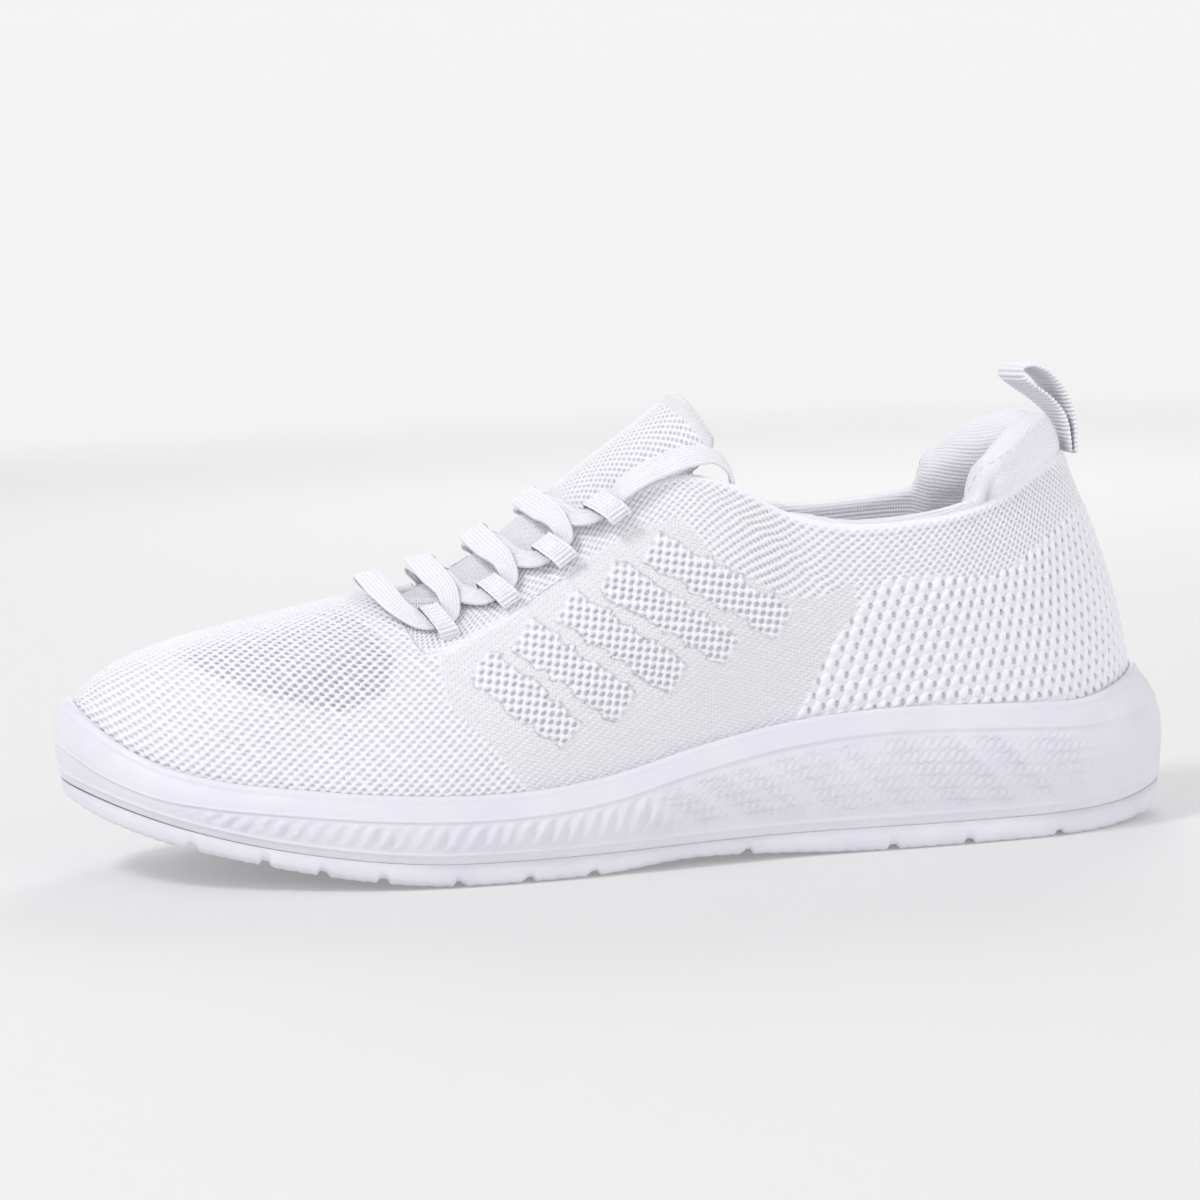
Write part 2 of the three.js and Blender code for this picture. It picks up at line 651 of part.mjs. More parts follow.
// One crossing, from the rear of band n on a side to the front of band n + 1 on the other.
// Entries: place along, share across, height of the underside, width.
function crossing(n, side, height) {
  const from = BAND_SEATS[n][0];
  const to = BAND_SEATS[n + 1][0];
  const run = to - from;
  const low = LACE_UNDER;
  return [
    [from, side * 1.03, low, LACE_WIDTH_IN_BAND],
    [from + BAND_EXIT, side * 1.01, low, LACE_WIDTH_IN_BAND],
    [from + run * 0.41, side * 0.84, height, LACE_WIDTH_TURNING],
    [from + run * 0.45, side * 0.55, height, LACE_WIDTH],
    [from + run * 0.5, 0, height, LACE_WIDTH],
    [from + run * 0.55, -side * 0.55, height, LACE_WIDTH],
    [from + run * 0.59, -side * 0.84, height, LACE_WIDTH_TURNING],
    [to - BAND_EXIT, -side * 1.01, low, LACE_WIDTH_IN_BAND],
    [to, -side * 1.03, low, LACE_WIDTH_IN_BAND],
  ];
}

// The front bar, bowed towards the toe between the first two bands.
function frontBar() {
  const from = BAND_SEATS[0][0];
  const bar = from - BAR_AHEAD;
  const low = LACE_UNDER;
  return [
    [from - BAND_EXIT, 1.01, low, LACE_WIDTH_IN_BAND],
    [bar, 0.84, low, LACE_WIDTH_TURNING],
    [bar - 0.4, 0.5, low, LACE_WIDTH],
    [bar, 0, low, LACE_WIDTH],
    [bar - 0.4, -0.5, low, LACE_WIDTH],
    [bar, -0.84, low, LACE_WIDTH_TURNING],
    [from - BAND_EXIT, -1.01, low, LACE_WIDTH_IN_BAND],
  ];
}

// The lace's tail on a side, from the last band over the collar's edge to its sewn end inside.
// Entries: drawn place along, reach, height, the direction that the ribbon's face looks, and width.
const LACE_TAIL = [
  [0, 29.6, 99.8, [-0.45, 0.62, 0.64], LACE_WIDTH],
  [7, 29.2, 104.4, [-0.35, 0.7, 0.62], LACE_WIDTH],
  [14, 29.2, 106.8, [-0.15, 0.7, 0.7], LACE_WIDTH],
  [19, 29, 106, [0.25, 0.55, 0.8], LACE_WIDTH_TURNING],
  [22.4, 28.4, 101.6, [0.75, 0.2, 0.62], LACE_WIDTH_TURNING],
  [23, 27.9, 95.4, [0.9, 0.1, 0.3], LACE_WIDTH_IN_BAND],
  [23.4, 27.7, 89.4, [0.95, 0, 0.1], LACE_WIDTH_IN_BAND],
];

// The whole lace as rows: centre, face direction, width.
function laceRows() {
  const rows = [];
  const onThroat = ([s, q, height, width]) => {
    const face = throatNormal(s, q);
    const centre = throatPoint(s, q).addScaledVector(face, height);
    rows.push({ centre: Math.abs(q) > 1 ? clearOfKnit(centre, GAP) : centre, face, width });
  };
  const tail = (side) => LACE_TAIL.map(([x, reach, height, face, width]) => ({
    centre: new THREE.Vector3(x * alongX, side * reach * throatWide, lift(x, height)),
    face: new THREE.Vector3(face[0], side * face[1], face[2]).normalize(),
    width,
  }));
  const reversed = (list) => [...list].reverse();
  rows.push(...reversed(tail(-1)));
  // Lateral 4, medial 3, lateral 2, medial 1, then the bar, lateral 1, medial 2, lateral 3, medial 4.
  reversed(crossing(2, 1, LACE_UNDER)).forEach(onThroat);
  reversed(crossing(1, -1, LACE_OVER)).slice(1).forEach(onThroat);
  reversed(crossing(0, 1, LACE_UNDER)).slice(1).forEach(onThroat);
  frontBar().forEach(onThroat);
  crossing(0, -1, LACE_OVER).forEach(onThroat);
  crossing(1, 1, LACE_UNDER).slice(1).forEach(onThroat);
  crossing(2, -1, LACE_OVER).slice(1).forEach(onThroat);
  rows.push(...tail(1));
  return rows;
}

// The ribbon: a smooth line through the rows' centres, with four corners at each step.
function lace() {
  const rows = laceRows();
  const line = new THREE.CatmullRomCurve3(rows.map((row) => row.centre), false, "centripetal");
  const steps = (rows.length - 1) * 2;
  const upper = [];
  const lower = [];
  for (let k = 0; k <= steps; k += 1) {
    const place = Math.min(k / 2, rows.length - 1);
    const [a, b] = [rows[Math.floor(place)], rows[Math.ceil(place)]];
    const share = place - Math.floor(place);
    const face = a.face.clone().lerp(b.face, share).normalize();
    const width = a.width + (b.width - a.width) * share;
    const centre = line.getPoint(k / steps);
    const across = line.getTangent(k / steps).cross(face).normalize().multiplyScalar(width / 2);
    lower.push([centre.clone().sub(across), centre.clone().add(across)]);
    upper.push(lower[k].map((p) => p.clone().addScaledVector(face, LACE)));
  }
  return between(upper, lower);
}

// A knitted band over the lace: an arch from the eyestay to the throat's edge.
function laceBand(seat, side) {
  const clear = LACE_UNDER + LACE + 2 * GAP;
  const grid = [-1, -0.33, 0.33, 1].map((end) => BAND_ARCH.map(([q, down]) => {
    const s = seat + (end * BAND_LENGTH) / 2;
    const p = throatPoint(s, side * q).addScaledVector(throatNormal(s, side * q), clear - down);
    return q > 1 ? clearOfKnit(p, GAP + (q > BAND_SIDE ? 0 : clear)) : p;
  }));
  const turned = gridNormals(grid, false)[1][3].z > 0 ? 1 : -1;
  return between(grid, offset(grid, turned * BAND));
}

// ---------------------------------------------------------------- pull loop

// The middle line of the webbing, from the collar's top over the loop to its end on the heel.
function loopLine() {
  return new THREE.CatmullRomCurve3(LOOP_LINE.map(([x, z]) => new THREE.Vector3(x * alongX, 0, lift(x, z))));
}

// A strap of webbing along part of that line.
function strap(from, to, steps) {
  const line = loopLine();
  const across = new THREE.Vector3(0, LOOP_WIDTH / 2, 0);
  const upper = [];
  const lower = [];
  for (let k = 0; k <= steps; k += 1) {
    const u = from + ((to - from) * k) / steps;
    const tangent = line.getTangentAt(u);
    const out = new THREE.Vector3(-tangent.z, 0, tangent.x).multiplyScalar(WEBBING / 2);
    const centre = line.getPointAt(u);
    const edge = (side, face) => centre.clone().addScaledVector(across, side).addScaledVector(out, face);
    upper.push([edge(-1, 1), edge(1, 1)]);
    lower.push([edge(-1, -1), edge(1, -1)]);
  }
  return between(upper, lower);
}

// ---------------------------------------------------------------- the shoe

const WHITE_KNIT = { color: 0xeeedf2, roughness: 0.85, metalness: 0 };
const WHITE_FOAM = { color: 0xf1f0f6, roughness: 0.55, metalness: 0 };
const WHITE_RUBBER = { color: 0xececf0, roughness: 0.6, metalness: 0 };
const LINING_CLOTH = { color: 0xe6e5ea, roughness: 0.9, metalness: 0 };
const STIFF_BOARD = { color: 0xd9d7d2, roughness: 0.9, metalness: 0 };

const shoe = new THREE.Group();

function add(name, geometry, look) {
  const mesh = new THREE.Mesh(geometry, new THREE.MeshStandardMaterial(look));
  mesh.name = name;
  shoe.add(mesh);
}

add("outsole", outsole(), WHITE_RUBBER);
add("midsole", midsole(), WHITE_FOAM);
add("strobel_board", footPlate(KNIT + GAP, GAP, BOARD_TOP), STIFF_BOARD);
add("sockliner_foam", footPlate(SOCK_DEPTH, SOCK_LOW, SOCK_LOW + SOCK_FOAM), WHITE_FOAM);
const clothLow = SOCK_LOW + SOCK_FOAM + GAP;
add("sockliner_cloth", footPlate(SOCK_DEPTH, clothLow, clothLow + SOCK_CLOTH), LINING_CLOTH);

add("knit_upper", knitUpper(), WHITE_KNIT);
const inside = KNIT + GAP;
const [toeFrom, toeTo] = PUFF_SPAN.map(columnAt);
add("toe_puff", layer(1, PUFF_TOP_ROW, toeFrom, toeTo, inside, PUFF), STIFF_BOARD);
const [counterFrom, counterTo] = COUNTER_SPAN.map(columnAt);
add("heel_counter", layer(1, PAD_ROW - 2, counterFrom, counterTo, inside, STIFFENER), STIFF_BOARD);
const [tapeFrom, tapeTo] = TAPE_SPAN.map(columnAt);
const [tapeLow, tapeHigh] = TAPE_ROWS;
add("eyestay_tape_lateral", layer(tapeLow, tapeHigh, tapeFrom, tapeTo, inside, PUFF), LINING_CLOTH);
const mirrored = [AROUND - tapeTo, AROUND - tapeFrom];
add("eyestay_tape_medial", layer(tapeLow, tapeHigh, ...mirrored, inside, PUFF), LINING_CLOTH);
add("quarter_lining", quarterLining(), LINING_CLOTH);
const [padFrom, padTo] = PAD_SPAN.map(columnAt);
add("collar_foam_lateral", collarFoam(padFrom, padTo), WHITE_FOAM);
add("collar_foam_medial", collarFoam(AROUND - padTo, AROUND - padFrom), WHITE_FOAM);

add("tongue_base", tonguePiece(0, TONGUE_SPLIT, 12), WHITE_KNIT);
add("tongue_tab", tonguePiece(TONGUE_SPLIT + TAB_GAP / tongueLength(), 1, 6), WHITE_KNIT);

add("lace", lace(), WHITE_KNIT);
BAND_SEATS.forEach(([seat], n) => {
  add(`lace_band_lateral_${n + 1}`, laceBand(seat, -1), WHITE_KNIT);
  add(`lace_band_medial_${n + 1}`, laceBand(seat, 1), WHITE_KNIT);
});

add("pull_loop", strap(0, LOOP_FREE, 18), LINING_CLOTH);
add("pull_loop_sewn_end", strap(LOOP_FREE + LOOP_ROOM / loopLine().getLength(), 1, 4), LINING_CLOTH);

export default shoe;
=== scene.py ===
"""A slip-on knitted running shoe for the left foot, dressed round its CAD frame.

Shapes are worked out in millimetres as numpy grids and put in the frame's metres at the end. The toe points
to -X, the outer (lateral) side of the foot to -Y. Angles round the shoe are in degrees from the toe: less than
180 is the lateral side, more is the medial side.
"""
import math

import bpy
import numpy as np
from mathutils import Matrix, Vector


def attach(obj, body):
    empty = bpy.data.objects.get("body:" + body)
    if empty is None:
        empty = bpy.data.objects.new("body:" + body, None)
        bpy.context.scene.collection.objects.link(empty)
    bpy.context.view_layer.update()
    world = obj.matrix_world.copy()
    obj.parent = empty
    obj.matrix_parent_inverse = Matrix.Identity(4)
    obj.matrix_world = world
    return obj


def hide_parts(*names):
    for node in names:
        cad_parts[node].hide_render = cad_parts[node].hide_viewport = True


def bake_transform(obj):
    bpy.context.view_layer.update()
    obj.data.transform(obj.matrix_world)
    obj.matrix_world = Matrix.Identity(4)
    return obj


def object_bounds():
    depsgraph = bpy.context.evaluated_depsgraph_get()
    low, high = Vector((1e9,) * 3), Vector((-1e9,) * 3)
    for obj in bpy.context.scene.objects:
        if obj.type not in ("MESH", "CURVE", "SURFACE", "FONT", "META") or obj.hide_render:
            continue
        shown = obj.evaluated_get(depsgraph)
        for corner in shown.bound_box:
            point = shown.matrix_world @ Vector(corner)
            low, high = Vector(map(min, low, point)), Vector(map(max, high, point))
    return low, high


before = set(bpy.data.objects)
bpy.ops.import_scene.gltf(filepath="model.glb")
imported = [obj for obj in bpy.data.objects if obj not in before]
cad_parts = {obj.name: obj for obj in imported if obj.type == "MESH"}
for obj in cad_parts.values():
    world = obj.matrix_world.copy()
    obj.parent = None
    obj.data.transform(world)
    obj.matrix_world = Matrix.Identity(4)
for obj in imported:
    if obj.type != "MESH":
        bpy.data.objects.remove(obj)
cad_low, cad_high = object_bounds()

# ---------------------------------------------------------------- camera

TARGET = Vector((-0.0045, 0, 0.0663))
AZIMUTH, ELEVATION, ROLL = math.radians(-10), math.radians(6), math.radians(-2)
DISTANCE = 0.9
LENS = 100.4  # mm on a 36 mm sensor


def make_camera():
    """A camera on the ray from TARGET at AZIMUTH and ELEVATION, turned about that ray by ROLL."""
    right = Vector((math.cos(AZIMUTH), math.sin(AZIMUTH), 0))
    back = Vector((
        math.sin(AZIMUTH) * math.cos(ELEVATION), -math.cos(AZIMUTH) * math.cos(ELEVATION), math.sin(ELEVATION),
    ))
    up = back.cross(right)
    rolled = right * math.cos(ROLL) + up * math.sin(ROLL)
    level = up * math.cos(ROLL) - right * math.sin(ROLL)
    camera = bpy.data.objects.new("camera", bpy.data.cameras.new("camera"))
    camera.data.lens = LENS
    camera.matrix_world = Matrix((rolled, level, back)).transposed().to_4x4()
    camera.location = TARGET + back * DISTANCE
    bpy.context.scene.collection.objects.link(camera)
    bpy.context.scene.camera = camera


make_camera()

# ---------------------------------------------------------------- driving dimensions, millimetres

DRAWN_LENGTH = 301.8  # of the solids that these curves are drawn for
MM = (cad_high.x - cad_low.x) / DRAWN_LENGTH  # one drawn millimetre in the frame's metres
HALF = 151.0  # toe tip to the middle

# Thicknesses
GAP = 0.3  # between touching pieces
KNIT, LINING, TONGUE, LACE, BAND, WEBBING = 2.0, 1.0, 3.0, 1.3, 0.8, 1.2
BOARD, SOCK_FOAM, SOCK_CLOTH = 1.5, 4.5, 0.8
RIM_WALL = 2.9  # midsole's rim
LINING_DEPTH = 3.8  # of the lining's outer side in the knit
SOCKLINER_CLEAR = 1.2  # to the lining, so that it lifts out
# Sole
OUTSOLE_SETBACK, LUG_DEPTH, GROOVE = 1.4, 2.6, 2.2
RIM_ROUND, RIM_RISE = 1.4, 1.7  # its round top starts this far under the rim line, and rises this much
# Lace, its bands and the pull loop
LACE_WIDTH, LACE_WIDTH_TURNING, LACE_WIDTH_IN_BAND = 7.5, 5.6, 5.0
LACE_OVER, LACE_UNDER = 2.3, 0.5  # its height over the throat, where it passes over and under itself
BAND_LENGTH, BAND_EXIT = 5.0, 3.4  # along the shoe; from a band's middle to where the lace is clear of it
BAR_AHEAD = 6.1  # of the first bands
LOOP_WIDTH = 12

# ---------------------------------------------------------------- drawn curves, as in the solids

# Place along the shoe, and the sole's reach from its middle line on each side.
LATERAL_REACH = [
    (-151, 47), (-118, 60), (-73, 59), (-38, 54.6), (2, 47.5), (42, 42.8), (82, 46), (122, 50.7), (151, 47),
]
MEDIAL_REACH = [
    (-151, 47), (-118, 54), (-78, 56), (-43, 51.5), (2, 41.5), (42, 38), (82, 42), (122, 49), (151, 47),
]
MIDDLE_LINE = [(-151, 9), (-108, 6), (-58, 1.4), (2, 0), (151, 0)]
END_ROUNDNESS = 0.82
# Place and height of the outsole's underside, of the seam over it and of the midsole's rim.
GROUND_LINE = [
    (-151, 23), (-139, 17), (-129, 13.6), (-115, 10), (-102, 7.2), (-89, 4.6), (-74, 2.2), (-60, 0.6), (-48, 0),
    (-20, 0), (12, 2.3), (30, 1.6), (52, 0.3), (62, 0), (118, 0), (134, 1), (144, 2.8), (151, 5.2),
]
SEAM_LINE = [
    (-151, 26.5), (-135, 20.9), (-118, 16), (-102, 12.3), (-83, 9.2), (-51, 6.4), (-20, 6.2), (22, 6.8),
    (102, 6.6), (132, 7.4), (151, 10.8),
]
RIM_LINE = [
    (-151, 46.6), (-139, 37.8), (-129, 32.8), (-115, 29), (-90, 25.9), (-65, 23.8), (-43, 23), (-13, 25.1),
    (14, 31.2), (41, 35.7), (69, 37.3), (97, 36.4), (121, 35.4), (134, 37), (151, 42),
]
FOAM_UNDER_FOOT = [(-151, 7), (-118, 7.4), (-51, 7.6), (2, 11.5), (62, 15.2), (102, 17.4), (151, 17.4)]
# Angle, and the rim's setback from the widest line.
RIM_SETBACK = [(0, 1.6), (40, 2.4), (90, 3), (140, 4.4), (180, 6.8)]
# Share of the midsole's wall height, setback there, and share of the rim's setback.
WALL_PROFILE = [
    (0, 1.3, 0), (0.16, 0.6, 0), (0.36, 0.1, 0), (0.58, 0, 0.05), (0.78, 0, 0.35), (0.92, 0, 0.72), (1, 0, 1),
]
# Places along of the grooves across the outsole, and middles of the ones along it.
CROSS_GROOVES = [-118, -100, -86, -71, -52, -34, -17, 25, 65, 86, 112]
LENGTHWISE_GROOVES = [(-76, 22), (-76, -20), (78, 16), (78, -16)]
LENGTHWISE_GROOVE_LENGTH = 62
# Angle, and the knit edge's place along, distance from the middle and height.
KNIT_EDGE = [
    (0, -62, 0, 73.5), (25, -60.5, 8.5, 72.6), (45, -56.5, 15, 70.8), (60, -48, 20, 71.5), (72, -34, 23.5, 77),
    (80, -18, 25.5, 86), (88, -2, 28, 96), (95, 14, 31, 100.5), (101, 27, 33.5, 97), (107, 40, 34.5, 89.5),
    (115, 60, 34.5, 85.3), (124, 80, 33.5, 86.5), (136, 98, 29.5, 90.5), (150, 111, 22, 96.5),
    (165, 121, 11.5, 100), (180, 125, 0, 100.5),
]
# Angle, and the handles of the wall's curve: out and up from the sole, out and down from the edge.
WALL_HANDLES = [
    (0, 5, 27, 50, 12), (30, 4.5, 23, 40, 12), (50, 3, 19, 24, 10), (65, 2.5, 20, 16, 9), (80, 2, 24, 12, 12),
    (95, 1, 27, 8, 16), (110, 0, 24, 3, 18), (130, 0, 22, 2, 18), (155, 2.5, 22, 4, 17), (180, 4, 22, 6, 16),
]
# Padded collar: degrees, height above the knit's edge, foam thickness. The lobes' front ends are crisper than
# the solid's.
COLLAR = [
    (100, 0.1, 1.4), (130.5, 0.4, 2.0), (132.4, 2.8, 3.6), (134, 8.2, 5.4), (137.5, 10.2, 6.4), (150, 12, 7.2),
    (165, 11.4, 6.6), (180, 8.6, 4.4),
]
# The collar's roll: shares of its height and, inwards, of its depth.
COLLAR_ROLL = [
    (0, 1), (0.5, 0.98), (0.82, 0.7), (1, 0.3), (0.98, 0), (0.84, -0.12), (0.5, -0.17), (0.18, -0.13), (0, -0.05),
]
OUTER_ROLL = 4  # bulge of the roll over the knit's outer face, in knit thicknesses
PAD_SHARE = 10 / 14  # the collar's padding starts this far up the wall
# Share from the tongue's root to its top; its middle's place and height; its flanks' place, reach and height.
TONGUE_LINE = [
    (0, -69, 67.4, -69, 20, 61), (0.12, -58, 70.4, -56, 24, 60.5), (0.24, -47, 75.2, -44, 26, 61.5),
    (0.38, -36, 82, -31, 26.8, 67), (0.52, -23, 91.8, -18, 27.2, 76.5), (0.66, -10, 101.8, -5, 27, 87),
    (0.8, 2, 110.2, 8, 25.6, 96.4), (0.92, 11, 116.5, 17.5, 25, 102), (1, 16.5, 121, 25, 24.5, 106.5),
]
# Place, distance from the middle and height of the bands' seats, and of the line through them.
BAND_SEATS = [(-52.5, 28, 66.2), (-36.5, 28, 73), (-21.5, 28.4, 82.8), (-7.5, 29.5, 93.2)]
SEAT_LINE = [(-73, 25, 66.5), (-60, 27.4, 65.4), *BAND_SEATS, (6, 30, 102)]
# Place and height over the middle of the surface that the lace lies on, CREST_AHEAD in front of its seats.
LACE_CREST = [
    (-90, 70.5), (-76, 73.6), (-68, 75), (-58, 76.2), (-47, 78.4), (-36, 84.4), (-23, 92.6), (-10, 102.6),
    (2, 111),
]
CREST_AHEAD = 8
# A band's arch: share across the throat, and how far it dips under its full height.
BAND_ARCH = [(1.2, 2.0), (1.185, 1.2), (1.14, 0.3), (1.02, 0), (0.93, 0.25), (0.895, 1.1), (0.88, 2.0)]
# The lace's ends: place, distance from the middle, height, the way that the face looks, and width.
LACE_TAIL = [
    (0, 29.6, 99.4, (-0.45, 0.62, 0.64), LACE_WIDTH), (8, 29.4, 103.2, (-0.35, 0.7, 0.62), LACE_WIDTH),
    (16, 29.6, 105.4, (-0.15, 0.7, 0.7), LACE_WIDTH), (22, 29.3, 104.6, (0.25, 0.55, 0.8), LACE_WIDTH_TURNING),
    (25.4, 28.6, 100.8, (0.75, 0.2, 0.62), LACE_WIDTH_TURNING),
    (26.2, 28.1, 95.4, (0.9, 0.1, 0.3), LACE_WIDTH_IN_BAND), (26.4, 27.7, 89.4, (0.95, 0, 0.1), LACE_WIDTH_IN_BAND),
]
# Place and height along the pull loop, from its inner sewn end over its top to the outer one.
LOOP_LINE = [
    (126.4, 100.8), (126.2, 104.4), (125.4, 108), (123.2, 112), (119.4, 115.8), (114.8, 119.2), (111.6, 122),
    (112, 124), (115, 124.6), (119.2, 122.6), (123.4, 117.6), (126.4, 112), (127.8, 107), (128, 103), (128, 100.2),
]

# ---------------------------------------------------------------- curve helpers


def through(points, x, column=1, even=False):
    """Cubic Hermite curve through points (x, value, ...). Its slopes are the weighted mean of the neighbouring
    chords, zero where the chords change sign, at most 3 times the smaller chord, and zero at the ends if even."""
    at = np.array([p[0] for p in points], float)
    value = np.array([p[column] for p in points], float)
    span = np.diff(at)
    chord = np.diff(value) / span
    mean = (chord[:-1] * span[1:] + chord[1:] * span[:-1]) / (span[:-1] + span[1:])
    most = 3 * np.minimum(abs(chord[:-1]), abs(chord[1:]))
    slope = np.zeros(len(at))
    slope[1:-1] = np.where(chord[:-1] * chord[1:] <= 0, 0, np.sign(mean) * np.minimum(abs(mean), most))
    if not even:
        slope[0], slope[-1] = chord[0], chord[-1]
    x = np.clip(np.asarray(x, float), at[0], at[-1])
    i = np.clip(np.searchsorted(at, x, side="left") - 1, 0, len(at) - 2)
    t = (x - at[i]) / span[i]
    rise = t * t * (3 - 2 * t)
    ends = value[i] * (1 - rise) + value[i + 1] * rise
    return ends + span[i] * (t * (1 - t) ** 2 * slope[i] + t * t * (t - 1) * slope[i + 1])


def fold(degrees):
    """The angle from the toe, the same on both sides: 0 to 180."""
    return np.where(degrees <= 180, degrees, 360 - degrees)


def side_of(degrees):
    """-1 on the lateral side and 1 on the medial side."""
    return np.where(degrees <= 180, -1.0, 1.0)


def unit(v):
    """Vectors divided by their length."""
    return v / np.maximum(np.linalg.norm(v, axis=-1, keepdims=True), 1e-9)


def stacked(*columns):
    """Points or vectors from their x, y and z, each an array or one number."""
    return np.stack(np.broadcast_arrays(*columns), axis=-1).astype(float)


def step(low, high, x):
    """0 below low, 1 above high, and the cubic 3t^2 - 2t^3 between."""
    t = np.clip((x - low) / (high - low), 0, 1)
    return t * t * (3 - 2 * t)


def sole_line(degrees):
    """Widest line of the sole: x is -half cos(angle), y the middle line plus the reach times |sin(angle)|^0.82."""
    degrees = np.mod(degrees, 360)
    x = -HALF * np.cos(np.radians(degrees))
    reach = np.where(degrees <= 180, through(LATERAL_REACH, x), through(MEDIAL_REACH, x))
    round_share = np.abs(np.sin(np.radians(degrees))) ** END_ROUNDNESS
    return stacked(x, through(MIDDLE_LINE, x) + side_of(degrees) * reach * round_share)


def outwards(degrees):
    """Level unit vector out of the shoe, square to the sole's line over 4 degrees."""
    ahead = unit(sole_line(degrees + 2) - sole_line(degrees - 2))
    return stacked(ahead[..., 1], -ahead[..., 0])


def set_in(degrees, setback, height):
    """Points at a height, the setback inside the sole's widest line."""
    p = sole_line(degrees) - outwards(degrees) * np.asarray(setback)[..., None]
    return stacked(p[..., 0], p[..., 1], height)


def bed_height(x):
    """Top of the foam under the foot: the seam plus the foam's thickness."""
    return through(SEAM_LINE, x) + through(FOAM_UNDER_FOOT, x)


def rim_setback(degrees):
    """How far inside its widest line the midsole's rim stands."""
    return through(RIM_SETBACK, fold(degrees), 1, True)


def knit_edge(degrees):
    """The knit's edge round the throat and the collar."""
    d = fold(degrees)
    return stacked(
        through(KNIT_EDGE, d, 1, True), through(KNIT_EDGE, d, 2) * side_of(degrees), through(KNIT_EDGE, d, 3, True),
    )


def knit_point(degrees, v):
    """Outer face of the knit: in each upright section a cubic Bezier curve from the sole (v = 0) to its edge (1)."""
    d = fold(degrees)
    out = outwards(degrees)
    foot = set_in(degrees, rim_setback(degrees) + RIM_WALL + GAP, bed_height(sole_line(degrees)[..., 0]) + 2 * GAP)
    edge = knit_edge(degrees)
    leave, leave_up, reach, reach_down = (through(WALL_HANDLES, d, k, True) for k in (1, 2, 3, 4))
    leaving = foot + stacked(out[..., 0] * leave, out[..., 1] * leave, leave_up)
    reaching = edge + stacked(out[..., 0] * reach, out[..., 1] * reach, -reach_down)
    v = np.asarray(v, float)[..., None]
    return (
        foot * (1 - v) ** 3 + 3 * leaving * v * (1 - v) ** 2 + 3 * reaching * v * v * (1 - v) + edge * v**3
    )


def rim_share(degrees):
    """The share v of the wall where the knit passes the midsole's rim, by halving."""
    height = through(RIM_LINE, sole_line(degrees)[..., 0])
    low, high = np.zeros(len(degrees)), np.full(len(degrees), 0.6)
    for _ in range(20):
        middle = (low + high) / 2
        under = knit_point(degrees, middle)[..., 2] < height
        low, high = np.where(under, middle, low), np.where(under, high, middle)
    return low


def normals_of(grid, wrap_rows=False, wrap_columns=False):
    """Unit normals of a grid, from the cross product of central differences along its columns and rows."""
    def differences(axis, wrapped):
        if wrapped:
            return np.roll(grid, -1, axis) - np.roll(grid, 1, axis)
        return np.gradient(grid, axis=axis)
    return unit(np.cross(differences(1, wrap_columns), differences(0, wrap_rows)))


def run_along(grid, axis=0):
    """Arc length along one axis of a line or grid of points, from 0 at its start."""
    steps = np.linalg.norm(np.diff(grid, axis=axis), axis=-1)
    return np.cumsum(np.concatenate([0 * np.take(steps, [0], axis), steps], axis), axis)


def evenly(line, count):
    """A polyline resampled to count points at equal steps of arc length."""
    run = run_along(line)
    at = np.linspace(0, run[-1], count)
    return np.stack([np.interp(at, run, line[:, k]) for k in range(line.shape[1])], axis=1)


def spline(points, per_span):
    """Centripetal Catmull-Rom spline through points, as cubic Hermite spans with per_span steps each."""
    p = np.asarray(points, float)
    p = np.vstack([2 * p[0] - p[1], p, 2 * p[-1] - p[-2]])
    root = np.maximum(np.linalg.norm(np.diff(p, axis=0), axis=1) ** 0.5, 1e-4)
    t = np.arange(per_span)[:, None] / per_span
    line = []
    for i in range(len(p) - 3):
        before, span, after = root[i], root[i + 1], root[i + 2]
        a, b, c, d = p[i:i + 4]
        start = ((b - a) / before - (c - a) / (before + span) + (c - b) / span) * span
        end = ((c - b) / span - (d - b) / (span + after) + (d - c) / after) * span
        h = 2 * t**3 - 3 * t**2 + 1
        line.append(b * h + start * (t**3 - 2 * t**2 + t) + c * (1 - h) + end * (t**3 - t**2))
    return np.vstack([*line, p[-2:-1]])


# ---------------------------------------------------------------- meshes


def new_object(name, points, quads, corners, material, triangles=(), attributes=None, normals=None):
    """A mesh object at the origin. points are millimetres, corners the quads' places in the baking UV map, and
    triangles close the ends. Faces are turned so that they point the way of the normals, or, where there are
    none, so that the signed volume is positive."""
    a, b, c, d = (points[quads[:, k]] for k in range(4))
    if normals is None:
        facing = (a * np.cross(b, c)).sum() + (a * np.cross(c, d)).sum()
    else:
        facing = (np.cross(b - a, c - a) * normals[quads[:, 0]]).sum()
    if facing < 0:
        quads, corners, triangles = quads[:, ::-1], corners[:, ::-1], [t[::-1] for t in triangles]
    mesh = bpy.data.meshes.new(name)
    mesh.from_pydata((points * MM).tolist(), [], quads.tolist() + list(triangles))
    mesh.polygons.foreach_set("use_smooth", np.ones(len(mesh.polygons), bool))
    bake = mesh.uv_layers.new(name="OFBake")
    ends = np.full((sum(len(t) for t in triangles), 2), 0.999)
    uv = np.concatenate([corners.reshape(-1, 2), ends])
    bake.data.foreach_set("uv", uv.astype(np.float32).ravel())
    for key, value in (attributes or {}).items():
        layer = mesh.attributes.new(key, "FLOAT_VECTOR", "POINT")
        layer.data.foreach_set("vector", np.ascontiguousarray(value, np.float32).ravel())
    mesh.materials.append(material)
    if normals is not None:
        mesh.normals_split_custom_set_from_vertices(normals.tolist())
    obj = bpy.data.objects.new(name, mesh)
    bpy.context.scene.collection.objects.link(obj)
    return obj


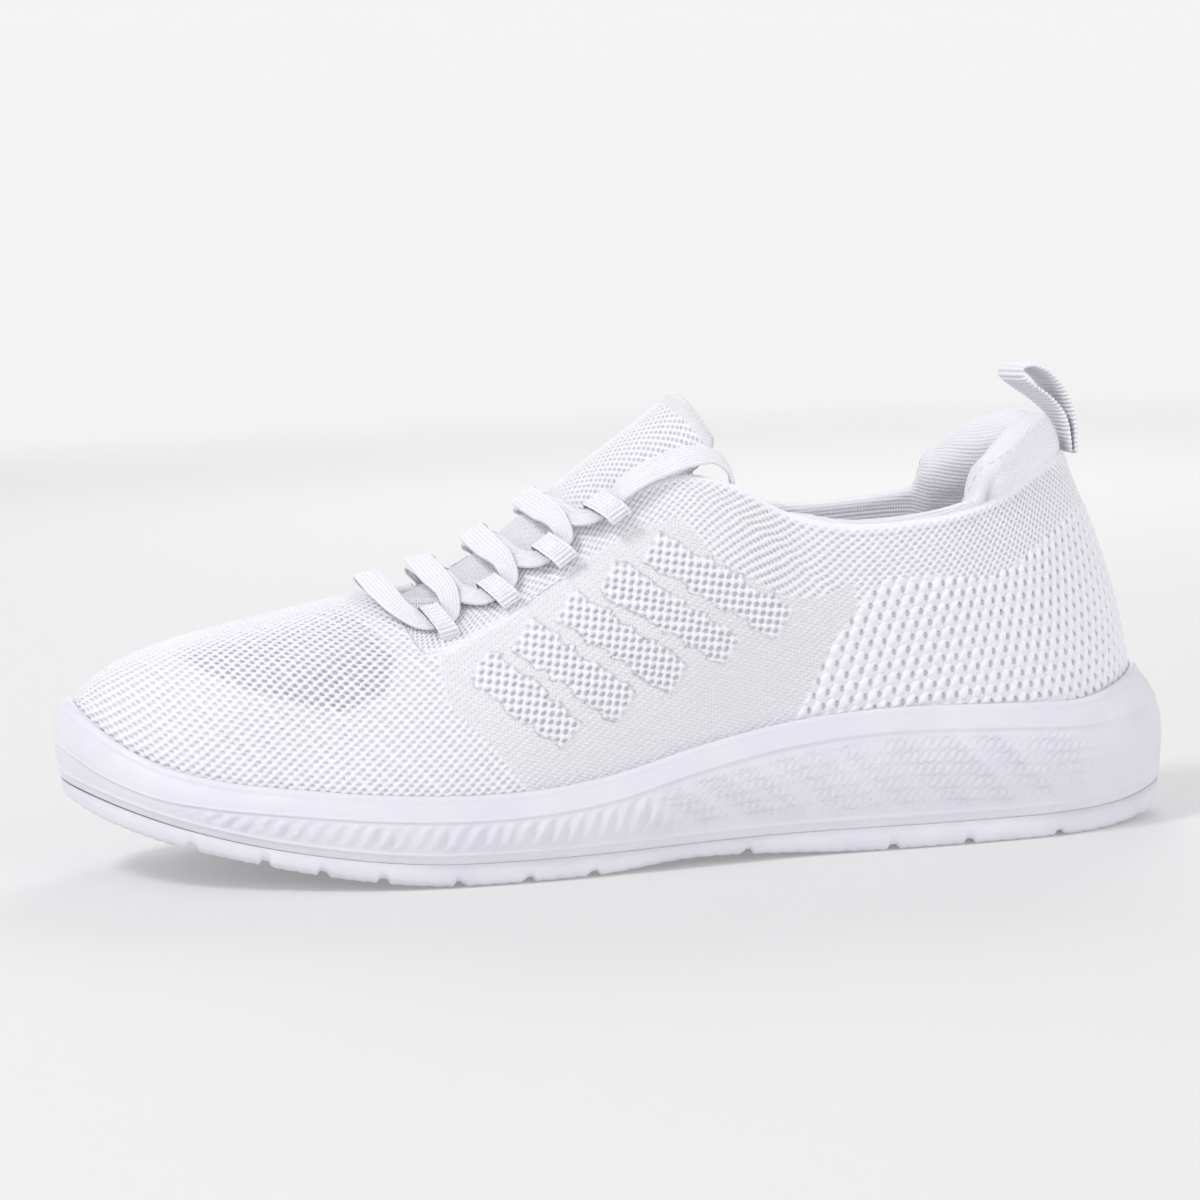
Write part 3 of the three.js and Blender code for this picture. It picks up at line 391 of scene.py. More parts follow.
def tube_faces(rows, columns):
    """Quads of a grid whose rows close on themselves, and their corners in a square UV layout."""
    r, c = (k.ravel() for k in np.meshgrid(np.arange(rows), np.arange(columns - 1), indexing="ij"))
    def index(row, column):
        return (row % rows) * columns + column
    def place(row, column):
        return np.stack([column / columns * 0.98, row / rows * 0.98], axis=1)
    ring = [(r, c), (r, c + 1), (r + 1, c + 1), (r + 1, c)]
    return np.stack([index(*k) for k in ring], axis=1), np.stack([place(*k) for k in ring], axis=1)


def end_faces(front, back, columns):
    """Triangles and quads that close both ends of such a grid, between the rows of its front and of its back,
    both listed from the same end. A front row joins the back row nearest to it in share."""
    near = np.rint(np.linspace(0, len(back) - 1, len(front))).astype(int)
    faces = []
    for column, turned in ((0, False), (columns - 1, True)):
        for k in range(len(front) - 1):
            ring = [front[k], front[k + 1], back[near[k + 1]], back[near[k]]]
            ring = [row * columns + column for row in dict.fromkeys(ring)]
            faces.append(ring[::-1] if turned else ring)
    return faces


def thick_sheet(name, shown, face, normal, thickness, material, attributes=None, facing=None, back_step=1):
    """A closed sheet: the shown face, a half circle over its last row, a back at that thickness behind the
    smooth face with one row for back_step front rows, and a half circle under the first row."""
    rows, columns = shown.shape[:2]
    turn = np.linspace(0, np.pi, 5)[1:-1]
    back_rows = np.unique(np.concatenate([np.arange(0, rows - 1, back_step), [rows - 1]]))[::-1]
    rear = face - normal * thickness
    def bend(row, beyond, order):
        middle, half = (shown[row] + rear[row]) / 2, (shown[row] - rear[row]) / 2
        away = unit(face[row] - face[beyond]) * np.linalg.norm(half, axis=-1, keepdims=True)
        return np.stack([half * math.cos(a) + away * math.sin(a) for a in turn][::order]), middle
    over, over_middle = bend(-1, -3, 1)
    under, under_middle = bend(0, 2, -1)
    if facing is None:
        facing = normals_of(shown)
        facing = facing * np.sign((facing * normal).sum())
    grid = np.concatenate([shown, over_middle + over, rear[back_rows], under_middle + under])
    normals = np.concatenate([facing, unit(over), -normal[back_rows], unit(under)])
    full = {
        key: np.concatenate([
            value, np.repeat(value[-1:], len(over), axis=0), value[back_rows], np.repeat(value[:1], len(under), axis=0),
        ]).reshape(-1, 3) for key, value in (attributes or {}).items()
    }
    quads, corners = tube_faces(grid.shape[0], columns)
    inner = rows + len(over) + len(back_rows) - 1 - np.arange(len(back_rows))
    ends = end_faces(np.arange(rows), inner, columns)
    top = [rows - 1, *range(rows, rows + len(over)), rows + len(over)]
    foot = [0, *range(len(grid) - 1, len(grid) - 1 - len(under), -1), rows + len(over) + len(back_rows) - 1]
    for column, turned in ((0, False), (columns - 1, True)):
        for ring, mirrored in ((top, False), (foot, True)):
            face_ring = [row * columns + column for row in ring]
            ends.append(face_ring[::-1] if turned != mirrored else face_ring)
    return new_object(name, grid.reshape(-1, 3), quads, corners, material, ends, full, normals.reshape(-1, 3))


# ---------------------------------------------------------------- materials


def linear(hex_colour):
    """An sRGB hex colour as linear red, green, blue and alpha."""
    parts = [int(hex_colour[k:k + 2], 16) / 255 for k in (0, 2, 4)]
    return [p / 12.92 if p <= 0.04045 else ((p + 0.055) / 1.055) ** 2.4 for p in parts] + [1.0]


def node(tree, kind, inputs, output=0, **settings):
    """Adds a shader node and gives one of its outputs. settings are its properties; inputs are the values of its
    sockets, or the sockets that feed them."""
    made = tree.nodes.new("ShaderNode" + kind)
    for key, value in settings.items():
        setattr(made, key, value)
    for key, value in inputs.items():
        if isinstance(value, bpy.types.NodeSocket):
            tree.links.new(value, made.inputs[key])
        else:
            made.inputs[key].default_value = value
    return made.outputs[output]


def new_material(name, colour, roughness, specular=0.4, sheen=0.0):
    """A named material with its shader; returns the material, its node tree and the shader."""
    material = bpy.data.materials.new(name)
    material.use_nodes = True
    tree = material.node_tree
    shader = tree.nodes["Principled BSDF"]
    for socket, value in (
        ("Base Color", linear(colour)), ("Roughness", roughness), ("Specular IOR Level", specular),
        ("Sheen Weight", sheen), ("Sheen Roughness", 0.5),
    ):
        shader.inputs[socket].default_value = value
    return material, tree, shader


def weighted(tree, *terms, start=0.0):
    """The sum of each socket times its factor, added to start."""
    total = start
    for socket, factor in terms:
        total = node(tree, "Math", {0: socket, 1: factor, 2: total}, operation="MULTIPLY_ADD")
    return total


def waves_of(tree, attribute):
    """The cosines of an attribute's two phases, x and y, and its third value as it is."""
    phases = node(tree, "Attribute", {}, "Vector", attribute_name=attribute)
    x, y, mask = (node(tree, "SeparateXYZ", {0: phases}, axis) for axis in "XYZ")
    first, second = (node(tree, "Math", {0: phase}, operation="COSINE") for phase in (x, y))
    return first, second, mask


def lattice(tree, attribute, low, high):
    """The holes of an attribute that holds a staggered lattice's phases and mask, by the formula of holes_of:
    1 in the middle of each hole and 0 on the yarn, steepened between low and high, times the mask."""
    across, up, mask = waves_of(tree, attribute)
    rows = []
    for sign in (0.5, -0.5):
        wide, tall = (weighted(tree, (wave, sign), start=0.5) for wave in (across, up))
        tall = node(tree, "Math", {0: tall, 1: 2.0}, operation="POWER")
        rows.append(node(tree, "Math", {0: wide, 1: tall}, operation="MULTIPLY"))
    hole = node(tree, "Math", dict(enumerate(rows)), operation="ADD")
    steep = node(tree, "MapRange", {0: hole, 1: low, 2: high}, interpolation_type="SMOOTHSTEP")
    return node(tree, "Math", {0: steep, 1: mask}, operation="MULTIPLY")


def grain(tree, size_mm, detail=3.0):
    """Noise in object coordinates whose features measure about size_mm."""
    place = node(tree, "TexCoord", {}, "Object")
    return node(tree, "TexNoise", {"Vector": place, "Scale": 1000 / size_mm, "Detail": detail, "Roughness": 0.6})


def finish(tree, shader, tone, colour, shade, height, relief_mm, strength):
    """Mixes the colour towards the shade by tone, and roughens the surface by height times relief_mm."""
    mixed = node(tree, "Mix", {"Factor": tone, 6: linear(colour), 7: linear(shade)}, 2, data_type="RGBA")
    tree.links.new(mixed, shader.inputs["Base Color"])
    bumped = node(tree, "Bump", {"Height": height, "Distance": relief_mm / 1000, "Strength": strength})
    tree.links.new(bumped, shader.inputs["Normal"])


WHITE_YARN = "f4f3f8"
# Colour of the painted shade in the knit's holes, and of its random yarn fleck.
YARN_FLECK_AND_PAINTED_SHADE = "bdbcc8"


def knit_material():
    """Polyester jacquard knit, flat-knitted white yarn: matt, with small holes between the stitches, darkened by
    painted shade.

    Three stitches share it, each by the mask of its own attribute: open lattice stitches (cells), plain fine
    weave (weave) and the big braided stitches of the heel (scales)."""
    material, tree, shader = new_material("polyester_jacquard_knit", WHITE_YARN, 0.82, 0.25, 0.15)
    open_holes = weighted(tree, (lattice(tree, "cells", 0.35, 0.95), 1), (lattice(tree, "scales", 0.65, 1.0), 1))
    weave = lattice(tree, "weave", 0.0, 0.8)
    yarn = weighted(tree, (grain(tree, 1.1), 0.6), (grain(tree, 0.4, 2.0), 0.4))
    # Painted shade: the holes of the open stitches, of the heel's braid and of the plain weave darken the colour; the
    # yarn noise adds a random fleck.
    tone = weighted(tree, (open_holes, 0.42), (weave, 0.06), (yarn, 0.12), start=-0.06)
    height = weighted(tree, (open_holes, -0.4), (weave, -0.28), (yarn, 0.3))
    finish(tree, shader, tone, WHITE_YARN, YARN_FLECK_AND_PAINTED_SHADE, height, 1.0, 0.9)
    return material


def ribbed_material(name, colour, shade, groove_painted_shade, groove_mm, sheen=0.1):
    """Ribbed cloth of white polyester yarn, matt: the attribute ribs holds the phases of the ribs, x, and of the
    fine rows across them, y; the grooves are sunk and darkened by painted shade, and loose fibres blur them."""
    material, tree, shader = new_material(name, colour, 0.85, 0.22, sheen)
    rib, row, _ = waves_of(tree, "ribs")
    groove = weighted(tree, (rib, 0.5), (row, 0.22))
    yarn = grain(tree, 0.8)
    # Painted shade: the colour darkens in the grooves; the yarn noise adds a random fleck.
    dark = node(tree, "MapRange", {0: groove, 1: -0.1, 2: 0.7, 4: groove_painted_shade}, interpolation_type="SMOOTHSTEP")
    dusty = node(tree, "MapRange", {0: yarn, 1: 0.35, 2: 0.75, 4: 0.08}, interpolation_type="SMOOTHSTEP")
    height = weighted(tree, (yarn, 0.12), (groove, -groove_mm))
    finish(tree, shader, weighted(tree, (dark, 1), (dusty, 1)), colour, shade, height, 1.0, 0.9)
    return material


def moulded_material(name, colour, roughness, specular, light, shade, cloud_mm, grain_mm, detail, relief_mm):
    """A moulded skin: slightly cloudy, from light to shade over cloud_mm, with the mould's faint grain."""
    material, tree, shader = new_material(name, colour, roughness, specular)
    cloud = grain(tree, cloud_mm, 2.0)
    tone = node(tree, "MapRange", {0: cloud, 1: 0.3, 2: 0.7}, interpolation_type="SMOOTHSTEP")
    finish(tree, shader, tone, light, shade, grain(tree, grain_mm, detail), relief_mm, 0.6)
    return material, tree, shader, cloud


def foam_material():
    """Compression-moulded EVA foam: a satin skin that light goes a little way into."""
    material, tree, shader, cloud = moulded_material(
        "moulded_eva_foam", "e4e3eb", 0.48, 0.42, "e5e4ec", "e1e0e9", 14.0, 0.7, 4.0, 0.09)
    satin = node(tree, "MapRange", {0: cloud, 1: 0.3, 2: 0.7, 3: 0.44, 4: 0.54}, interpolation_type="SMOOTHSTEP")
    tree.links.new(satin, shader.inputs["Roughness"])
    shader.inputs["Subsurface Weight"].default_value = 0.12
    shader.inputs["Subsurface Radius"].default_value = (1.0, 0.95, 1.0)
    shader.inputs["Subsurface Scale"].default_value = 0.003
    return material


def rubber_material():
    """Blown white rubber, press-moulded: matt, with a fine grit."""
    return moulded_material(
        "moulded_white_rubber", "e6e5ec", 0.58, 0.4, "e8e7ee", "e0dfe8", 20.0, 0.5, 3.0, 0.08)[0]


def fibre_material(name, colour, shade, size_mm, detail, roughness, sheen, tones, relief_mm, strength):
    """Fibres too fine to see one by one: a fleck or felted mottle of size_mm, whose noise runs from light to
    shade between the first two tones, as far as the third."""
    material, tree, shader = new_material(name, colour, roughness, 0.25, sheen)
    fleck = grain(tree, size_mm, detail)
    low, high, most = tones
    tone = node(tree, "MapRange", {0: fleck, 1: low, 2: high, 4: most}, interpolation_type="SMOOTHSTEP")
    finish(tree, shader, tone, colour, shade, fleck, relief_mm, strength)
    return material


def thread_material(name, colour, shade, pitch_mm):
    """Twisted white polyester thread: matt, with a fine regular fleck."""
    return fibre_material(name, colour, shade, pitch_mm, 2.0, 0.8, 0.2, (0.35, 0.75, 0.35), 0.14, 0.8)


def board_material(name, colour, shade, grain_mm):
    """Pressed fibre sheet, tape or open foam: dull, off-white, with a felted mottle."""
    return fibre_material(name, colour, shade, grain_mm, 4.0, 0.9, 0.0, (0.35, 0.7, 1.0), 0.15, 0.7)


KNIT_LOOK = knit_material()
LINING_LOOK = ribbed_material("brushed_tricot_lining", "f5f4fa", "c6c5d0", 0.22, 0.12, 0.25)
FOAM_LOOK = foam_material()
RUBBER_LOOK = rubber_material()
LACE_LOOK = ribbed_material("woven_elastic_ribbon", "f6f5fa", "c9c8d3", 0.28, 0.14)
BAND_LOOK = ribbed_material("knitted_band_yarn", "f6f5fa", "c4c3cf", 0.35, 0.18)
WEBBING_LOOK = ribbed_material("polyester_webbing", "f5f4f9", "c6c5d0", 0.28, 0.16)
THREAD_LOOK = thread_material("polyester_sewing_thread", "ebeaf1", "d4d3dd", 0.4)
BOARD_LOOK = board_material("nonwoven_strobel_board", "e6e4dd", "d2cfc6", 1.2)
COUNTER_LOOK = board_material("thermoformed_counter_sheet", "e2e0da", "d0cdc5", 2.0)
SOFT_FOAM_LOOK = board_material("open_cell_polyurethane_foam", "f2f1ea", "dddbd0", 0.9)
TAPE_LOOK = board_material("reinforcing_tape", "ecebe9", "dcdad6", 0.8)

# ---------------------------------------------------------------- knitted upper

UPPER_COLUMNS = 1440
UPPER_ROWS = 150  # from just under the midsole's rim to the collar
UPPER_SLICES = 6
HIDDEN_ROWS = 5  # inside the cup
BACK_STEP = 5  # the inner face has one row for this many outer ones

CREST_LINE = [
    (-151, 44), (-140, 53), (-122, 60), (-101, 65), (-85, 69), (-71, 72), (-58, 74), (-47, 78), (-36, 84),
    (-23, 92), (-10, 101), (4, 108), (40, 112), (151, 112),
]
CELL, CELL_ROW = 2.6, 1.25  # pitch of the open lattice stitches along a row, and between rows
BAR_CELL, BAR_ROW = 3.0, 1.45
WEAVE, WEAVE_ROW = 1.15, 0.75  # drawn a third coarser than the real plain weave, so that it shows
SCALE, SCALE_ROW = 3.9, 3.2  # braided stitches of the heel
SCALE_SLANT = 0.1  # rise of their rows towards the heel
SCALE_LEAN, SCALE_STRAND = math.radians(50), 1.2  # lean of a stitch, and pitch of the strands in it
SCALE_HALF = (1.4, 2.3)  # of a stitch, across and along
WEAVE_SLANT = 0.72  # rise of its rows towards the heel
BAR_SLANT = (0.82, 0.57)  # cosine and sine of the lean of the rows on the bars

# Borders between the stitches, as (place along, height) pairs; in FORE_BORDER and HEEL_BORDER height comes first.
EYESTAY_BORDER = [(-66, 80), (-61, 66), (-56, 58.5), (-39, 64.6), (-24.6, 72.9), (-9, 83), (0, 87.5), (9, 90)]
FORE_BORDER = [(16, -22), (23.4, -32.4), (35.9, -42.2), (46.9, -52), (60.6, -53), (80, -50)]
COLLAR_BORDER = [(8, 91), (12.8, 88.5), (20.4, 79.1), (27.9, 74.5), (35, 70), (45.6, 67.4), (57.8, 71.4)]
HEEL_BORDER = [(30, 35.5), (36.1, 40.1), (41.5, 43.5), (54.8, 50.6), (63.1, 57), (71.1, 63.9), (90, 76)]
HEEL_TOP_BORDER = [(63.9, 71.1), (77.5, 71.7), (92.5, 70.1), (100.3, 72.1), (112.8, 79.5), (125, 87)]
VAMP_PANEL = [(-119, 59.7), (-101, 67.6), (-74, 70), (-64, 58.6), (-67, 49.7), (-78.5, 45), (-102, 51), (-111.5, 55)]
# Slanted bars of coarse stitches on the quarter: foot and head of the first, and the step to the next.
BARS = 5
BAR_HEAD, BAR_FOOT = np.array([-43.0, 55.5]), np.array([-21.0, 36.5])
BAR_HEAD_STEP, BAR_FOOT_STEP = np.array([11.6, 6.9]), np.array([14.6, 6.2])
BAR_HALF_WIDTH = 4.5


def smooth_random(size, seed):
    """Random numbers from -1 to 1 that change smoothly: a coarse random grid, interpolated by a cubic."""
    draw = np.random.default_rng(seed).uniform(-1, 1, 4096)
    i = np.floor(size).astype(int)
    t = step(0, 1, size - i)
    return draw[i % 4096] * (1 - t) + draw[(i + 1) % 4096] * t


def holes_of(first, second):
    """Raised cosines of both phases, the second one squared, for each of the two staggered rows of holes: 1 in
    the middle of a hole, which is wider than high, and 0 on the yarn."""
    a, b = np.cos(first), np.cos(second)
    return ((1 + a) * (1 + b) ** 2 + (1 - a) * (1 - b) ** 2) / 8


def braid_of(along, across):
    """Height of the heel's braided stitches, from 0 to 1: half ellipsoids that lean on a staggered lattice, and
    overlap, so that the highest one shows."""
    height = np.zeros_like(along)
    cos, sin = math.cos(SCALE_LEAN), math.sin(SCALE_LEAN)
    for odd in (0, 1):
        row = 2 * SCALE_ROW * np.rint((across - odd * SCALE_ROW) / (2 * SCALE_ROW)) + odd * SCALE_ROW
        first = SCALE / 2 * (1 - odd)
        middle = first + SCALE * np.rint((along - first) / SCALE)
        for beside in (-SCALE, 0, SCALE):
            da, dc = along - middle - beside, across - row
            wide, long = (da * cos - dc * sin) / SCALE_HALF[0], (dc * cos + da * sin) / SCALE_HALF[1]
            height = np.maximum(height, np.sqrt(np.maximum(1 - wide**2 - long**2, 0)))
    return height


def upper_charts(p, degrees):
    """Cloth coordinates of the upper's points. Over the toe, each cross section is taken as a quarter ellipse
    of half width W and height H: with t the angle from its crest, the way down it is (W + H)/2 t + (W - H)/4
    sin 2t. Along the crest, place is the crest line's own arc length. Round the heel it is the sole line's."""
    x, y, z = p[..., 0], p[..., 1], p[..., 2]
    table_x = np.linspace(-151, 151, 400)
    crest = through(CREST_LINE, table_x)
    slope = np.gradient(crest, table_x) * (1 - step(-110, -60, table_x))
    run = np.concatenate([[0], np.cumsum(np.sqrt(1 + slope[1:] ** 2) * np.diff(table_x))])
    place = np.interp(x, table_x, run)
    widths = np.interp(x, table_x, np.maximum(
        (through(LATERAL_REACH, table_x) + through(MEDIAL_REACH, table_x)) / 2
        * np.sqrt(np.maximum(1 - (table_x / HALF) ** 2, 0)) ** END_ROUNDNESS - 5, 6))
    rim = through(RIM_LINE, x)
    height = np.maximum(through(CREST_LINE, x) - rim, 8)
    angle = np.arctan2(np.abs(y - through(MIDDLE_LINE, x)) / widths, np.maximum(z - rim, -8) / height)
    down = (widths + height) / 2 * angle + (widths - height) / 4 * np.sin(2 * angle)
    total = (widths + height) / 2 * np.pi / 2
    turn = np.linspace(0, 180, 721)
    line = sole_line(turn)
    around_run = np.interp(fold(degrees), turn, run_along(line))
    return place, total - down, around_run


def polygon_mask(x, z, corners, soft=1.2):
    """1 inside a convex polygon given clockwise, falling to 0 over a few millimetres at its sides."""
    inside = np.ones_like(x)
    for (ax, az), (bx, bz) in zip(corners, corners[1:] + corners[:1]):
        length = math.hypot(bx - ax, bz - az)
        inside = inside * step(-soft, soft, ((bz - az) * (x - ax) - (bx - ax) * (z - az)) / length)
    return inside


def bar_mask(x, z):
    """1 on any of the slanted bars: within BAR_HALF_WIDTH of the line from its head to its foot."""
    mask = np.zeros_like(x)
    for k in range(BARS):
        head, foot = BAR_HEAD + k * BAR_HEAD_STEP, BAR_FOOT + k * BAR_FOOT_STEP
        way = foot - head
        length = np.linalg.norm(way)
        share = ((x - head[0]) * way[0] + (z - head[1]) * way[1]) / length**2
        off = np.abs((x - head[0]) * way[1] - (z - head[1]) * way[0]) / length
        off = off + 0.9 * smooth_random(share * length / 2.4 + 40 * k, 31)
        one = 1 - step(BAR_HALF_WIDTH - 0.6, BAR_HALF_WIDTH + 0.6, off)
        mask = np.maximum(mask, one * step(-0.03, 0.02, share) * (1 - step(0.98, 1.03, share)))
    return mask


def stitch_zones(p):
    """Masks of the stitches over the upper: open lattice, mesh panel, coarse bars, plain weave and heel."""
    x, z = p[..., 0], p[..., 2]
    soft = 0.8
    before_fore = 1 - step(-soft, soft, x - through(FORE_BORDER, z))
    above_eyestay = step(-soft, soft, z - through(EYESTAY_BORDER, x)) * (x < 9.5)
    above_collar = step(-soft, soft, z - through(COLLAR_BORDER, x)) * (x >= 8) * (x < 60)
    heel = step(-soft, soft, x - through(HEEL_BORDER, z)) * (1 - step(-soft, soft, z - through(HEEL_TOP_BORDER, x)))
    cells = np.maximum(np.where(x < -20, before_fore, 0), np.maximum(above_eyestay, above_collar))
    cells = np.where((x > 57) | (heel > 0), np.maximum(cells, 1 - heel) * (x > 57), cells)
    weave = np.clip(1 - cells - heel, 0, 1)
    bars = bar_mask(x, z) * weave
    panel = polygon_mask(x, z, VAMP_PANEL) * cells
    return cells, panel, bars, weave * (1 - bars), heel


def upper_grid():
    """The knit's smooth outer face: the upright Bezier sections at even arc length, with HIDDEN_ROWS more rows
    in the cup. Gives the points, normals, angles, and each point's way down from the edge and up the wall."""
    degrees = np.linspace(0, 360, UPPER_COLUMNS, endpoint=False)
    low = rim_share(degrees) - 0.02
    fine = np.linspace(0, 1, 160)
    v_fine = low + (1 - low) * fine[:, None]
    line = knit_point(np.broadcast_to(degrees, v_fine.shape), v_fine)
    run = run_along(line)
    even = np.linspace(0, 1, UPPER_ROWS)
    share = np.stack([np.interp(even * run[-1, c], run[:, c], fine) for c in range(UPPER_COLUMNS)], axis=1)
    v = low + (1 - low) * share
    hidden = low * np.linspace(0, 1, HIDDEN_ROWS, endpoint=False)[:, None]
    v = np.vstack([hidden, v])
    around = np.broadcast_to(degrees, v.shape)
    face = knit_point(around, v)
    normal = normals_of(face, wrap_columns=True)
    normal *= np.sign((normal[40, :, :2] * outwards(degrees)).sum(-1).mean())
    to_edge = run[-1] * (1 - np.vstack([np.zeros((HIDDEN_ROWS, UPPER_COLUMNS)), share]))
    return face, normal, around, to_edge, run[-1] - to_edge


def upper_stitches(face, around, to_edge, climb):
    """Relief of the stitches over the smooth knit, and the phases and masks by which its material paints shade into
    their holes.
    Each stitch is a formula of the cloth's own coordinates, faded out towards the edge and the rim."""
    place, up, around_run = upper_charts(face, around)
    above_rim = face[..., 2] - through(RIM_LINE, face[..., 0])
    cells, panel, bars, weave, heel = stitch_zones(face)
    wobble = 0.18 * smooth_random(place / 3.1 + up / 2.3, 3)
    # Open stitches follow the rim in front of the throat and the knit's edge behind it.
    x = face[..., 0]
    over_border = face[..., 2] - through(EYESTAY_BORDER, x)
    toe_side = (x < -20) & (over_border < 0)
    along = np.where(toe_side, place, around_run)
    across = np.where(toe_side, up, to_edge)
    cell_x = 2 * np.pi * (along + wobble) / CELL
    cell_y = np.pi * (across + wobble) / CELL_ROW
    lean_cos, lean_sin = BAR_SLANT
    turned = (x * lean_cos + face[..., 2] * lean_sin, face[..., 2] * lean_cos - x * lean_sin)
    bar_x = 2 * np.pi * (turned[0] + wobble) / BAR_CELL
    bar_y = np.pi * (turned[1] + wobble) / BAR_ROW
    on_bar = bars > 0.02
    cell_x, cell_y = np.where(on_bar, bar_x, cell_x), np.where(on_bar, bar_y, cell_y)
    open_mask = np.clip(cells + bars, 0, 1)
    slope = math.atan(SCALE_SLANT)
    slanted = climb * math.cos(slope) - around_run * math.sin(slope)
    straight = around_run * math.cos(slope) + climb * math.sin(slope)
    scale_x = 2 * np.pi * (straight + wobble) / SCALE
    scale_y = np.pi * (slanted + wobble) / SCALE_ROW
    slope = math.atan(WEAVE_SLANT)
    weave_x = 2 * np.pi * (x * math.cos(slope) + face[..., 2] * math.sin(slope) + wobble * 0.5) / WEAVE
    weave_y = np.pi * (face[..., 2] * math.cos(slope) - x * math.sin(slope)) / WEAVE_ROW

    hole = holes_of(cell_x, cell_y)
    depth = 0.62 + 0.4 * panel + 0.45 * bars
    relief = open_mask * (0.2 - depth * step(0.1, 1, hole))
    relief = relief + bars * (0.16 + 0.16 * np.cos(bar_y * 2 + 1.2))
    # The heel's braided stitches lean towards the heel, and each is a bundle of fine strands.
    strands = np.cos(2 * np.pi * (straight * math.cos(SCALE_LEAN) - slanted * math.sin(SCALE_LEAN)) / SCALE_STRAND)
    braid = braid_of(straight + wobble, slanted + wobble)
    pits = step(0.5, 1, holes_of(scale_x, scale_y))
    relief = relief + heel * (braid - 0.4 - 0.5 * pits + 0.07 * strands * braid)
    relief = relief + weave * 0.1 * np.cos(weave_y)
    fade = step(0.2, 2.2, to_edge) * step(-0.8, 0.8, above_rim)
    fade = fade * (1 - 0.8 * np.exp(-((over_border / 0.9) ** 2)) * (x < -30))
    welt = 0.35 * np.exp(-((to_edge - 1.1) / 0.9) ** 2)
    loops = step(1.6, 2.4, to_edge) * (1 - step(4.2, 5.2, to_edge)) * step(124, 128, fold(around))
    welt = welt + loops * 0.16 * np.cos(2 * np.pi * around_run / 1.5)
    # The cells mask also sets the painted shade in the holes: darker on the mesh panel and the bars.
    return relief * fade + welt, {
        "cells": stacked(cell_x, cell_y, open_mask * fade * (0.7 + 0.5 * panel + 0.4 * bars)),
        "scales": stacked(scale_x, scale_y, heel * fade),
        "weave": stacked(weave_x, weave_y, weave * fade),
    }


def upper_pieces():
    """The knit: its smooth face pushed along its normals by the stitches' relief, closed by an inner face KNIT
    behind it. It comes in slices that share their border's points."""
    face, normal, around, to_edge, climb = upper_grid()
    relief, attributes = upper_stitches(face, around, to_edge, climb)
    shown = face + normal * relief[..., None]
    shown_normal = normals_of(shown, wrap_columns=True)
    shown_normal *= np.sign((shown_normal[40] * normal[40]).sum())
    per_slice = UPPER_COLUMNS // UPPER_SLICES
    pieces = []
    for k in range(UPPER_SLICES):
        columns = np.arange(k * per_slice, (k + 1) * per_slice + 1) % UPPER_COLUMNS
        part = {key: value[:, columns] for key, value in attributes.items()}
        pieces.append(thick_sheet(
            f"upper_knit_{k + 1}", shown[:, columns], face[:, columns], normal[:, columns], KNIT, KNIT_LOOK, part,
            shown_normal[:, columns], BACK_STEP,
        ))
    return pieces


# ---------------------------------------------------------------- sole

SOLE_COLUMNS = 1200
SOLE_WALL_ROWS = 64
RIBS_PITCH, RIBS_LEAN = 4.4, 0.45  # soft leaning ribs on the forefoot's side
DIMPLE_PITCH, DIMPLE_ROWS = 2.5, 7  # rows of dimples from the waist to the heel


def ring_solid(name, rings, material, attributes=None):
    """A solid from rings stacked from its lower to its upper face. Both faces are closed by rungs that join the
    lateral and the medial side at the same place along the shoe."""
    rows, count = rings.shape[:2]
    r, c = np.meshgrid(np.arange(rows - 1), np.arange(count), indexing="ij")
    r, c = r.ravel(), c.ravel()
    at = lambda rr, cc: rr * count + cc % count
    quads = np.stack([at(r, c), at(r, c + 1), at(r + 1, c + 1), at(r + 1, c)], axis=1)
    spot = lambda rr, cc: np.stack([cc / count, rr / (rows - 1) * 0.7], axis=1)
    corners = np.stack([spot(r, c), spot(r, c + 1), spot(r + 1, c + 1), spot(r + 1, c)], axis=1)
    i = np.arange(count // 2)
    for row, turned, shelf in ((0, True, 0.72), (rows - 1, False, 0.86)):
        rungs = np.stack([at(row, i), at(row, i + 1), at(row, count - i - 1), at(row, count - i)], axis=1)
        low, high = np.full(len(i), shelf), np.full(len(i), shelf + 0.12)
        place = np.stack([
            np.stack([i / count * 2, low], 1), np.stack([(i + 1) / count * 2, low], 1),
            np.stack([(i + 1) / count * 2, high], 1), np.stack([i / count * 2, high], 1),
        ], axis=1)
        if turned:
            rungs, place = rungs[:, ::-1], place[:, ::-1]
        quads, corners = np.vstack([quads, rungs]), np.concatenate([corners, place])
    ends = quads[-count:]
    whole = np.array([len(set(q)) == 4 for q in ends])
    closing = [list(dict.fromkeys(q.tolist())) for q in ends[~whole]]
    keep = np.concatenate([np.ones(len(quads) - count, bool), whole])
    return new_object(name, rings.reshape(-1, 3), quads[keep], corners[keep], material, closing, attributes)


